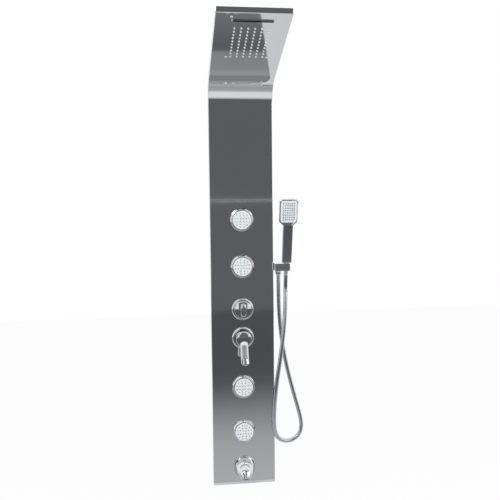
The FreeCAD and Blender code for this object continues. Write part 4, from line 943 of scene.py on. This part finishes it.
@dataclass
class Jet:
    """One body jet: chrome ring with its barrel, and a domed disc with nozzles."""

    name: str
    height: float
    tails: tuple[int, ...]
    face_radius: float = 29.2
    face_out: float = 7.5
    rim: float = 3.4
    dome: float = 1.2
    dome_power: float = 2.6
    tail_start: float = 11.0
    nub_circles: tuple[tuple[int, float], ...] = ((12, 22.5), (8, 14.5), (4, 6.5))

    def ring(self) -> None:
        """The ring that lies on the sheet, and the barrel behind it."""
        axis = panel_axis(0, 0, self.height)
        outline = [
            (0, 1.5, 0), (29.8, 1.5, 0), (29.8, 9.0, 0.7), (32.6, 9.0, 1.6), (36.6, 3.6, 3.2),
            (37.5, 0.0, 0.2), (12.5, 0.0, 0), (12.5, -21.4, 0.4), (11.8, -22.0, 0), (0, -22.0, 0),
        ]
        ring = turned_piece(f"{self.name}_ring", axis, outline, BRIGHT_CHROME, "panel", 128)
        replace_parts(ring, "jet_bodies")
        for side in self.tails:
            name = f"{self.name}_tail_{'up' if side > 0 else 'down'}"
            at, outline = panel_axis(0, TAIL_OUT, self.height), tail_outline(self.tail_start, side)
            tail = turned_piece(name, at, outline, BRIGHT_CHROME, "panel", 40, Spin.UP)
            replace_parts(tail, "jet_bodies")

    def _swell(self, share: float) -> float:
        """The dome's height over the disc's middle plane, at a share of its radius."""
        return self.rim + self.dome * (1 - share**self.dome_power)

    def disc(self) -> None:
        """The white disc, whose face is a shallow dome h (1 - s^p), and the nozzles in it."""
        body, radius = f"{self.name}_disc", self.face_radius
        axis = panel_axis(0, self.face_out, self.height)
        outline = [(radius * share, self._swell(share), 0) for share in np.linspace(0, 1, 14)[:-1]]
        outline += [
            (radius, 3.2, 0.5), (radius, -1.5, 0.4), (14, -1.5, 0), (14, -0.9, 0), (3.6, -0.9, 0),
            (3.6, -4.2, 0), (0, -4.2, 0),
        ]
        made = turned_piece(f"{self.name}_plate", axis, outline, WHITE_ABS, body)
        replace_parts(made, f"{self.name}_face")
        axes = []
        for count, reach in self.nub_circles:
            out = self.face_out + self._swell(reach / radius)
            for turn in (2 * math.pi * (k + 0.5) / count for k in range(count)):
                axes.append(panel_axis(reach * math.cos(turn), out, self.height + reach * math.sin(turn)))
        corners = [(0, 0.9, 0), (1.1, 0.9, 0.3), (1.5, 0.1, 0.2), (1.6, -0.4, 0), (0, -0.4, 0)]
        grown_tips(f"{self.name}_nubs", axes, corners, 2, 12, DARK_RUBBER, body)


@dataclass
class Controls:
    """Mixer lever, diverter knob and their round wall plates."""

    mixer: float = 480.0
    diverter: float = 572.0
    bell_out: float = 13.5
    bell_radius: float = 25.5
    bell_crown: float = 2.2
    blade_top: float = 14.0
    blade_fall: float = 89.5
    blade_start: float = 9.5
    blade_reach: float = 38.5
    blade_half_width: float = 12.5
    blade_bulge: float = 0.45
    knob_radius: float = 28.0
    knob_level: float = 17.2
    knob_crown: float = 2.8
    grip_half_width: float = 10.0
    grip_half_length: float = 21.0

    def flanges(self) -> None:
        """The two wall plates, low cones with rounded rims."""
        outline = [
            (21.1, 0, 0), (21.1, 4.6, 0.3), (31.5, 4.6, 2.0), (35, 1.4, 1.2), (35, 0, 0.2), (21.1, 0, 0),
        ]
        for label, height in (("mixer", self.mixer), ("diverter", self.diverter)):
            name, axis = f"{label}_wall_plate", panel_axis(0, 0, height)
            made = turned_piece(name, axis, outline, BRIGHT_CHROME, "panel", 128)
            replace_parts(made, "control_flanges")

    def lever(self) -> None:
        """The bell, whose end is crowned as h (1 - s^2), and the blade."""
        axis = panel_axis(0, self.bell_out, self.mixer)
        radius = self.bell_radius
        crown = [(radius * s, 17 + self.bell_crown * (1 - s**2), 0) for s in np.linspace(0.8, 0, 10)]
        bell = [(0, 14, 0), (22.5, 14, 0), (22.5, 0, 0.3), (radius, 0, 0.5), (radius, 17, 7), *crown]
        made = turned_piece("lever_bell", axis, bell, BRIGHT_CHROME, "mixer_lever", 128)
        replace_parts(made, "mixer_lever")
        self._blade(axis)

    def _blade(self, axis: Axis) -> None:
        """The blade that hangs down and out of the bell.

        Its sections are superellipses, square to its lean. Down the blade they move out, thicken and
        thin again, and close in a round end; across it they bulge towards the middle.

        Args:
            axis: the bell's axis.
        """
        rows, sides, round_from = 40, 48, 0.9
        share = np.linspace(0, 1, rows)
        fall = self.blade_top - self.blade_fall * share
        out = self.blade_start + self.blade_reach * np.clip(share - 0.08, 0, 1) ** 1.12
        into_end = (np.clip(share - round_from, 0, 1) / 0.105) ** 2.4
        half = self.blade_half_width * np.sqrt(np.clip(1 - into_end, 0.02, 1))
        thick = np.interp(share, [0, 0.12, 0.35, 0.8, 0.97, 1], [1.0, 3.0, 4.4, 3.8, 2.6, 1.0])
        outline = superellipse(1, 1, 2.6, sides)
        bulge = outline[:, 1] * (1 + self.blade_bulge * (1 - outline[:, 0] ** 2))
        lean = math.atan2(self.blade_reach, self.blade_fall)
        right = half[:, None] * outline[:, 0]
        forward = out[:, None] + thick[:, None] * bulge * math.cos(lean)
        up = fall[:, None] + thick[:, None] * bulge * math.sin(lean)
        points = axis.put(right * MM, forward * MM, up * MM).reshape(-1, 3)
        faces = skin_faces(rows, sides)
        blade = piece_from("lever_blade", points, faces, BRIGHT_CHROME, "mixer_lever", 60)
        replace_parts(outwards(blade), "mixer_lever")

    def knob(self) -> None:
        """The round knob, crowned as h (1 - s^2), and the grip across it, whose top is rounded over."""
        axis = panel_axis(0, 0, self.diverter)
        radius, level = self.knob_radius, self.knob_level
        dome = [(radius * s, level + self.knob_crown * (1 - s**2), 0) for s in np.linspace(0.9, 0, 10)]
        disc = [(0, 5.2, 0), (radius, 5.2, 0.4), (radius, level, 4.5), *dome]
        made = turned_piece("knob_disc", axis, disc, BRIGHT_CHROME, "diverter_knob", 128)
        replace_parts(made, "diverter_knob")
        levels = np.array([15.5, 17.2, 18.4, 22, 26, 28, 28.9, 29.2])[:, None]
        shrink = np.array([1.12, 1.06, 1.0, 0.96, 0.9, 0.82, 0.66, 0.3])[:, None]
        outline = superellipse(self.grip_half_width, self.grip_half_length, 3.2, 72)
        right, up = shrink * outline[:, 0], (1 - (1 - shrink) * 0.55) * outline[:, 1]
        points = axis.put(right * MM, levels * MM, up * MM).reshape(-1, 3)
        faces = skin_faces(len(levels), len(outline))
        grip = piece_from("knob_grip", points, faces, BRIGHT_CHROME, "diverter_knob", 60)
        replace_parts(outwards(grip), "diverter_knob")


@dataclass
class Spout:
    """The tub spout: a round foot and a hood whose rings turn down towards the mouth."""

    height: float = 54.0
    reach: float = 46.0
    fall: float = 20.0
    tilt: float = 52.0
    foot_radius: float = 35.5
    mouth_radius: float = 14.0
    sides: int = 96

    def build(self) -> None:
        """Makes the foot, the hood, the shank behind the sheet and the pipe's tail."""
        axis = panel_axis(0, 0, self.height)
        foot = [(0, 0, 0), (38.5, 0, 0.2), (38.5, 3, 1.4), (30, 3, 0), (0, 3, 0)]
        made = turned_piece("spout_foot", axis, foot, BRIGHT_CHROME, "panel", 128)
        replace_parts(made, "spout_body")
        rings = self._hood_rings(axis)
        faces = skin_faces(len(rings), self.sides)
        hood = piece_from("spout_hood", np.concatenate(rings), faces, BRIGHT_CHROME, "panel")
        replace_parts(outwards(hood), "spout_body")
        shank = [(0, -24, 0), (9.8, -24, 0), (10.4, -23.4, 0), (10.4, 0, 0), (0, 0, 0)]
        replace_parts(turned_piece("spout_shank", axis, shank, CAST_BRASS, "panel", 64), "spout_body")
        at, tail = panel_axis(0, TAIL_OUT, self.height), tail_outline(10)
        made = turned_piece("spout_tail", at, tail, CAST_BRASS, "panel", 40, Spin.UP)
        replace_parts(made, "spout_body")

    def _hood_rings(self, axis: Axis) -> list[np.ndarray]:
        """The hood's rings from foot to mouth, which then turn in to make the mouth's recess.

        At a share s of the way, a ring has dropped by s^1.9 of the fall and turned by s^1.25 of the
        tilt, and its radius goes from the foot's to the mouth's with a belly of a half sine.

        Args:
            axis: the foot's axis.

        Returns:
            The rings, each as many points as there are sides, by 3.
        """
        belly, cover = 3, 0.6
        share = np.linspace(0, 1, 30)
        out = np.interp(share, [0, 0.5, 1], [2.6, 23, self.reach])
        drop = self.fall * share**1.9
        turn = np.radians(self.tilt * share**1.25)
        taper = self.foot_radius + (self.mouth_radius - self.foot_radius) * share**1.15
        radius = taper + belly * np.sin(np.pi * share) + cover
        rings = [self._ring(axis, *ring) for ring in zip(out, drop, turn, radius)]
        end = math.radians(self.tilt)
        for depth, across in ((-0.5, 13.6), (-0.4, 12.2), (0.3, 11.6), (6.8, 11.5)):
            back = self.reach - depth * math.cos(end), self.fall - depth * math.sin(end)
            rings.append(self._ring(axis, *back, end, across))
        return rings

    def _ring(self, axis: Axis, out: float, drop: float, turn: float, radius: float) -> np.ndarray:
        """One ring, square to a direction that is turned down from straight out.

        Args:
            axis: the foot's axis.
            out: its middle's distance from the face.
            drop: its middle's distance below the foot's.
            turn: how far it is turned down, in radians.
            radius: its radius.

        Returns:
            The ring's points, n by 3.
        """
        angle = np.linspace(0, 2 * np.pi, self.sides, endpoint=False)
        right, up = radius * np.cos(angle), radius * np.sin(angle)
        return axis.put(right * MM, (out + up * math.sin(turn)) * MM, (-drop + up * math.cos(turn)) * MM)


# ------------------------------------------------------------------ hand shower and hose


@dataclass
class HandShower:
    """The handle, its flat head, the white face and the cone that the hose ends in."""

    start: float = 15.5
    widen: float = 136.0
    head_start: float = 150.0
    end: float = 219.5
    handle_half_width: float = 16.0
    head_widens_by: float = 12.75
    handle_half_depth: float = 10.5
    head_thins_by: float = 3.0
    corner: float = 8.0
    rim: float = 1.6
    foot_round: float = 1.5
    sides: int = 96
    face_middle: float = 181.75
    face_out: float = 7.95
    nub_columns: int = 6
    nub_rows: int = 8
    nub_column_pitch: float = 6.7
    nub_row_pitch: float = 7.3
    axis: Axis = field(init=False)

    def __post_init__(self) -> None:
        """Finds the handset's axis, which starts at the middle of the block's socket."""
        self.axis = panel_axis(SOCKET_X, SOCKET_OUT, SOCKET_HEIGHT).tilted(HANDSET_TILT)

    def body(self) -> None:
        """Handle and head in one: rounded rectangles along the axis, closed by quarter circles.

        From handle to head the half sizes follow the smooth step e = s^2 (3 - 2 s).
        """
        top = self.end - self.corner + self.corner * np.sin(np.linspace(0, math.pi / 2, 12))
        foot = self.start + self.foot_round - self.foot_round * np.cos(np.linspace(0, math.pi / 2, 5))
        grip, neck = np.linspace(22, 130, 10), np.linspace(134, 154, 14)
        head = np.linspace(160, self.end - 9, 8)
        along = np.concatenate([foot, grip, neck, head, top])
        ease = np.clip((along - self.widen) / (self.head_start - self.widen), 0, 1)
        ease = ease * ease * (3 - 2 * ease)
        at_foot = drawn_in(self.start + self.foot_round - along, self.foot_round)
        at_corner = drawn_in(along - (self.end - self.corner), self.corner)
        at_rim = drawn_in(along - (self.end - self.rim), self.rim)
        half_width = self.handle_half_width + self.head_widens_by * ease - at_corner - at_foot
        half_depth = self.handle_half_depth - self.head_thins_by * ease - at_rim - at_foot
        outline = superellipse(1, 1, 5.5, self.sides)
        right = half_width[:, None] * outline[:, 0]
        forward = half_depth[:, None] * outline[:, 1]
        points = self.axis.put(right * MM, forward * MM, along[:, None] * MM).reshape(-1, 3)
        faces = skin_faces(len(along), self.sides)
        made = piece_from("handset_shell", points, faces, BRIGHT_CHROME, "handset", 50)
        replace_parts(outwards(made), "handset_body")

    def face(self) -> None:
        """The white plate in the head's rim, slightly proud, and its dark nozzles."""
        outline = superellipse(25.5, 34.5, 9, self.sides)
        middle = self.axis.moved(0.0, 0.0, self.face_middle * MM)
        rings = [
            middle.put(scale * outline[:, 0] * MM, out * MM, scale * outline[:, 1] * MM)
            for scale, out in ((1.0, 5.5), (1.0, 7.5), (0.995, 7.8), (0.975, self.face_out), (0.5, 8.0))
        ]
        faces = skin_faces(len(rings), self.sides)
        made = piece_from("handset_plate", np.concatenate(rings), faces, WHITE_ABS, "handset")
        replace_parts(outwards(made), "handset_face")
        half_columns, half_rows = (self.nub_columns - 1) / 2, (self.nub_rows - 1) / 2
        axes = [
            middle.moved(
                (column - half_columns) * self.nub_column_pitch * MM,
                self.face_out * MM,
                (row - half_rows) * self.nub_row_pitch * MM,
            )
            for column in range(self.nub_columns)
            for row in range(self.nub_rows)
        ]
        corners = [(0, 0.8, 0), (1.4, 0.8, 0.3), (1.8, 0.1, 0.2), (1.9, -0.3, 0), (0, -0.3, 0)]
        nubs = grown_tips("handset_nubs", axes, corners, 2, 10, DARK_RUBBER, "handset")
        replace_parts(nubs, "handset_nozzles")

    def cone(self) -> bpy.types.Object:
        """The tapered end piece of the hose, with a small collar at its lower end."""
        outline = [
            (0, -27, 0), (6.9, -27, 0.4), (7.0, -24.5, 0.2), (6.6, -24, 0.2), (6.9, -23, 0.2),
            (8.7, 14.8, 0.4), (8.4, 15.5, 0), (0, 15.5, 0),
        ]
        at = self.axis
        made = turned_piece("hose_end_cone", at, outline, BRIGHT_CHROME, "handset", 64, Spin.UP)
        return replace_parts(made, "hose_cone")


@dataclass
class Hose:
    """The metal hose from the outlet's nut to the handset's cone."""

    radius: float = 6.75
    sides: int = 40
    outlet_x: float = 118.4
    outlet_out: float = -16.0
    nut_height: float = 694.5
    last_stops: tuple[float, float] = (63.0, 27.0)

    def route(self) -> list[tuple[float, float, float]]:
        """Its control points, at the same places as the solid's route.

        They are written as (x, depth behind the face, height). The last ones lie on the handset's axis,
        at set distances below its socket.

        Returns:
            The points in metres in the frame.
        """
        tilt = math.radians(HANDSET_TILT)
        places = [
            (118.4, 16.0, 676.5), (118.2, 16.0, 618), (120.2, 15.6, 548), (126.4, 15.0, 474),
            (140.2, 14.0, 390), (161.5, 12.6, 303), (177.5, 11.2, 245), (187.0, 9.6, 208), (190.5, 7.6, 175),
            (179.8, 5.4, 149), (156.1, 2.8, 133.9), (128.0, -1.0, 135.1), (105.7, -6.2, 152.2),
            (97.3, -10.8, 179), (95.8, -13.4, 222), (98.6, -14.8, 275), (107.0, -15.4, 345),
            (117.6, -15.2, 412), (127.0, -13.2, 480), (133.4, -9.6, 540), (137.4, -4.6, 594),
        ]
        for distance in self.last_stops:
            depth = -SOCKET_OUT + distance * math.sin(tilt)
            places.append((SOCKET_X, depth, SOCKET_HEIGHT - distance * math.cos(tilt)))
        return [(x * MM, FACE_Y + depth * MM, BOTTOM_Z + height * MM) for x, depth, height in places]

    def build(self, cone: bpy.types.Object) -> None:
        """The hose as one smooth tube, and the nut that holds its upper end.

        Args:
            cone: the hose's end piece on the handset; not used.
        """
        path = self._line()
        faces = skin_faces(len(path), self.sides)
        made = piece_from("shower_hose", self._tube(path), faces, HOSE_CHROME, None)
        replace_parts(outwards(made), "hose")
        outline = [
            (0, 0, 0), (10.2, 0, 0.3), (10.8, -1, 0.3), (10.8, -13, 1.0), (9.2, -15.2, 0.8),
            (8.4, -17.4, 0.4), (7.6, -18, 0), (0, -18, 0),
        ]
        at = panel_axis(self.outlet_x, self.outlet_out, self.nut_height)
        nut = turned_piece("outlet_nut", at, outline, BRIGHT_CHROME, "panel", 72, Spin.UP)
        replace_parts(nut, "hose_outlet_nut")
        self._share(made, path)

    def _share(self, made: bpy.types.Object, path: np.ndarray) -> None:
        """Draws every ring in to the hose's line, bakes the hose's transform into its points there, and puts
        the rings back.

        Args:
            made: the hose.
            path: the points of its line.
        """
        mesh = made.data
        round_points = np.empty(len(mesh.vertices) * 3)
        mesh.vertices.foreach_get("co", round_points)
        mesh.vertices.foreach_set("co", np.repeat(path, self.sides, axis=0).ravel())
        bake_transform(made)
        mesh.vertices.foreach_set("co", round_points)
        mesh.update()

    def _line(self) -> np.ndarray:
        """Points along a quadratic NURBS spline whose control points are the route.

        Returns:
            The points in metres, n by 3, none twice in a row.
        """
        curve = bpy.data.curves.new("hose_line", "CURVE")
        curve.dimensions = "3D"
        curve.resolution_u = 24
        spline = curve.splines.new("NURBS")
        route = self.route()
        spline.points.add(len(route) - 1)
        for point, place in zip(spline.points, route):
            point.co = (*place, 1.0)
        spline.order_u = 3
        spline.use_endpoint_u = True
        holder = bpy.data.objects.new("hose_line", curve)
        bpy.context.scene.collection.objects.link(holder)
        bpy.context.view_layer.update()
        mesh = bpy.data.meshes.new_from_object(holder)
        points = np.empty(len(mesh.vertices) * 3)
        mesh.vertices.foreach_get("co", points)
        bpy.data.objects.remove(holder)
        points = points.reshape(-1, 3)
        apart = np.linalg.norm(np.diff(points, axis=0), axis=1) > MM**2
        return points[np.concatenate([[True], apart])]

    def _tube(self, path: np.ndarray) -> np.ndarray:
        """Rings square to the line, as r (cos a across + sin a beside), none twisted against the last.

        Args:
            path: the points of the line, n by 3.

        Returns:
            The rings' points, one ring after another.
        """
        ahead = np.gradient(path, axis=0)
        ahead /= np.linalg.norm(ahead, axis=1)[:, None]
        steady = np.array([1.0, 0, 0])
        across = steady - ahead * (ahead @ steady)[:, None]
        across /= np.linalg.norm(across, axis=1)[:, None]
        beside = np.cross(ahead, across)
        turn = np.linspace(0, 2 * np.pi, self.sides, endpoint=False)[None, :, None]
        rings = across[:, None] * np.cos(turn) + beside[:, None] * np.sin(turn)
        return (path[:, None] + self.radius * MM * rings).reshape(-1, 3)


# ------------------------------------------------------------------ studio


def level_card(left: float, right: float, front: float, back: float, height: float) -> list[Corner]:
    """The corners of a level rectangle, from its bounds in x and y and its height."""
    return [(left, front, height), (right, front, height), (right, back, height), (left, back, height)]


def upright_card(left: float, right: float, depth: float, low: float, high: float) -> list[Corner]:
    """The corners of an upright rectangle that faces along y, from its bounds in x and z and its y."""
    return [(left, depth, low), (right, depth, low), (right, depth, high), (left, depth, high)]


@dataclass
class Studio:
    """Floor, surroundings, lamps and the camera. Its lengths are metres."""

    floor_z: float = -1.1302
    floor_half: float = 3.0
    camera_at: tuple[float, float, float] = (-0.2187, -2.0052, -0.2142)
    yaw: float = 0.124525
    pitch: float = -0.0790768
    roll: float = -0.0105451
    focal_pixels: float = 624.67
    image_pixels: float = 500
    sensor_mm: float = 36

    def camera(self) -> None:
        """The camera at the photograph's place, turned by yaw, pitch and roll in radians."""
        yaw, pitch, roll = self.yaw, self.pitch, self.roll
        ahead = Vector((math.sin(yaw) * math.cos(pitch), math.cos(yaw) * math.cos(pitch), math.sin(pitch)))
        level = Vector((math.cos(yaw), -math.sin(yaw), 0))
        above = level.cross(ahead)
        right = math.cos(roll) * level + math.sin(roll) * above
        up = math.cos(roll) * above - math.sin(roll) * level
        data = bpy.data.cameras.new("camera")
        data.sensor_width = self.sensor_mm
        data.lens = self.focal_pixels / self.image_pixels * self.sensor_mm
        data.clip_end = 50
        view = bpy.data.objects.new("camera", data)
        turned = Matrix((right, up, -ahead)).transposed().to_4x4()
        view.matrix_world = Matrix.Translation(self.camera_at) @ turned
        bpy.context.scene.collection.objects.link(view)
        bpy.context.scene.camera = view

    def _plane(self, name: str, corners: Sequence[Corner], material: bpy.types.Material) -> bpy.types.Object:
        """A flat stage piece.

        Args:
            name: its name.
            corners: its corners in order.
            material: its material.

        Returns:
            The new object.
        """
        mesh = bpy.data.meshes.new(name)
        mesh.from_pydata(list(corners), [], [tuple(range(len(corners)))])
        mesh.materials.append(material)
        made = bpy.data.objects.new(name, mesh)
        bpy.context.scene.collection.objects.link(made)
        return made

    def _floor_material(self) -> bpy.types.Material:
        """Pale floor: white to the eye and half white in mirrors, while it takes the object's shadow.

        Returns:
            The new material.
        """
        material = bpy.data.materials.new("pale_studio_floor")
        tree = empty_tree(material)
        path = add(tree, "ShaderNodeLightPath")
        eye = add(tree, "ShaderNodeMath", {0: path.outputs["Is Camera Ray"], 1: 0.94}, operation="MULTIPLY")
        mirror = add(tree, "ShaderNodeMath", {0: path.outputs["Is Glossy Ray"], 1: 0.5}, operation="MULTIPLY")
        share = add(tree, "ShaderNodeMath", {0: eye.outputs[0], 1: mirror.outputs[0]}, operation="MAXIMUM")
        matt = add(tree, "ShaderNodeBsdfDiffuse", {"Color": linear("f0f0f0")})
        white = add(tree, "ShaderNodeEmission", {"Color": (1, 1, 1, 1), "Strength": 1.0})
        mix = add(
            tree,
            "ShaderNodeMixShader",
            {0: share.outputs[0], 1: matt.outputs["BSDF"], 2: white.outputs["Emission"]},
        )
        add(tree, "ShaderNodeOutputMaterial", {"Surface": mix.outputs[0]})
        return material

    def _card_material(self, name: str, stops: Sequence[tuple[float, str]]) -> bpy.types.Material:
        """A card that shows even tones in mirrors, graded along its Y.

        Args:
            name: the material's name.
            stops: (place along Y in metres, colour), from front to back.

        Returns:
            The new material.
        """
        material = bpy.data.materials.new(name)
        tree = empty_tree(material)
        place = add(tree, "ShaderNodeTexCoord")
        parts = add(tree, "ShaderNodeSeparateXYZ", {"Vector": place.outputs["Object"]})
        first, last = stops[0][0], stops[-1][0] + 1e-6
        bounds = {"From Min": first, "From Max": last}
        share = add(tree, "ShaderNodeMapRange", {"Value": parts.outputs["Y"], **bounds})
        ramp = add(tree, "ShaderNodeValToRGB", {"Fac": share.outputs["Result"]})
        for number, (y, colour) in enumerate(stops):
            at = (y - first) / (last - first)
            stop = ramp.color_ramp.elements[number] if number < 2 else ramp.color_ramp.elements.new(at)
            stop.position = at
            stop.color = linear(colour)
        shader = add(tree, "ShaderNodeEmission", {"Color": ramp.outputs["Color"], "Strength": 1.0})
        add(tree, "ShaderNodeOutputMaterial", {"Surface": shader.outputs["Emission"]})
        return material

    def surroundings(self) -> None:
        """A white world for the eye and for mirrors, and a plain pale light for everything else."""
        world = bpy.data.worlds.new("studio")
        tree = empty_tree(world)
        rays = add(tree, "ShaderNodeLightPath").outputs
        both = {0: rays["Is Camera Ray"], 1: rays["Is Glossy Ray"]}
        seen = add(tree, "ShaderNodeMath", both, operation="MAXIMUM")
        through = {0: seen.outputs[0], 1: rays["Is Transmission Ray"]}
        shown = add(tree, "ShaderNodeMath", through, operation="MAXIMUM")
        light = add(tree, "ShaderNodeBackground", {"Color": linear("e6e9ec"), "Strength": 0.75})
        white = add(tree, "ShaderNodeBackground", {"Color": (1, 1, 1, 1), "Strength": 1.0})
        shares = {0: shown.outputs[0], 1: light.outputs[0], 2: white.outputs[0]}
        mix = add(tree, "ShaderNodeMixShader", shares)
        add(tree, "ShaderNodeOutputWorld", {"Surface": mix.outputs[0]})
        bpy.context.scene.world = world

    def cards(self) -> None:
        """Cards seen only in mirrors: what the flat sheet shows is dim, and curved chrome shows a mix.

        The level card lies at the camera's height, so the flat sheet shows it edge on and only the bend
        shows its lower side.
        """
        eye, far, near, ground, wide, top = self.camera_at[2], -3.2, -0.06, -1.125, 4.0, 4.0
        strip, strip_low, strip_high, flag = -2.9, -0.9, 1.6, 1.7
        low_tones = [
            (-1.45, "5a5b5d"), (-1.15, "646567"), (-0.9, "808183"), (-0.7, "9c9d9e"), (-0.4, "bcbcbd"),
            (-0.1, "c8c8c8"),
        ]
        level_tones = [
            (-0.95, "6c6d6f"), (-0.62, "ffffff"), (-0.36, "ffffff"), (-0.28, "bebebe"), (-0.2, "b8b8b8"),
        ]
        dim = self._card_material("dim_studio_card", [(far, "6c6d6f"), (0.0, "6c6d6f")])
        low = self._card_material("low_studio_card", low_tones)
        white = self._card_material("level_studio_card", level_tones)
        bright = self._card_material("white_studio_strip", [(far, "f4f4f4"), (0.0, "f4f4f4")])
        black = self._card_material("black_studio_flag", [(far, "1c1c1e"), (0.0, "1c1c1e")])
        for name, material, corners in (
            ("dim_card_front", dim, upright_card(-wide, wide, far, ground, top)),
            ("low_card", low, level_card(-wide, wide, far, near, ground)),
            ("level_card", white, level_card(-1.5, 1.5, -0.95, -0.2, eye)),
            ("high_flag", black, level_card(-0.7, 0.9, -2.3, -0.45, flag)),
            ("left_strip", bright, upright_card(-1.4, -0.3, strip, strip_low, strip_high)),
            ("right_strip", bright, upright_card(0.9, 2.1, strip, strip_low, strip_high)),
        ):
            card = self._plane(name, corners, material)
            card.visible_camera = False
            card.visible_diffuse = False
            card.visible_shadow = False

    def lamps(self) -> None:
        """Soft lamps: a key from the left front, a weaker fill from the right, and one from above."""
        for name, place, target, size, watts in (
            ("key", (-1.6, -2.2, 1.4), (0, 0, -0.4), 1.2, 26),
            ("fill", (2.0, -1.8, 0.4), (0, 0, -0.5), 1.4, 12),
            ("top", (0.2, -0.9, 2.0), (0, -0.1, -0.2), 1.0, 12),
        ):
            data = bpy.data.lights.new(name, "AREA")
            data.size, data.energy = size, watts
            lamp = bpy.data.objects.new(name, data)
            lamp.location = place
            lamp.rotation_euler = (Vector(target) - Vector(place)).to_track_quat("-Z", "Y").to_euler()
            bpy.context.scene.collection.objects.link(lamp)

    def build(self) -> None:
        """Sets the whole studio up."""
        self.camera()
        self.surroundings()
        half = self.floor_half
        self._plane("floor", level_card(-half, half, -half, half, self.floor_z), self._floor_material())
        self.cards()
        self.lamps()
        bpy.context.scene.view_settings.view_transform = "Standard"


def dress_frame(frame: dict) -> None:
    """Gives every carried-over node the finish of its material slot.
    """
    for entry in frame["record"]["subparts"]:
        made = frame["nodes"][entry["node"]]
        finish = SLOT_FINISH[entry["material_slot"]]
        made.data.materials.clear()
        made.data.materials.append(material_of(finish))


def main() -> None:
    """Builds the pieces in order."""
    logging.basicConfig(level=logging.INFO, format="%(name)s: %(message)s")
    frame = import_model()
    dress_frame(frame)
    Studio().build()
    shower = HandShower()
    Hose().build(shower.cone())
    shower.body()
    shower.face()
    sheet = Sheet()
    sheet.build()
    head = HeadFittings(Plate(sheet))
    head.nozzles()
    head.mouth()
    head.screws()
    for name, height, tails in (
        ("jet_1", 855, (-1,)), ("jet_2", 708, (-1, 1)), ("jet_3", 321, (-1, 1)), ("jet_4", 175, (1,)),
    ):
        jet = Jet(name, height, tails)
        jet.ring()
        jet.disc()
    controls = Controls()
    controls.flanges()
    controls.lever()
    controls.knob()
    Spout().build()


if __name__ == "__main__":
    main()
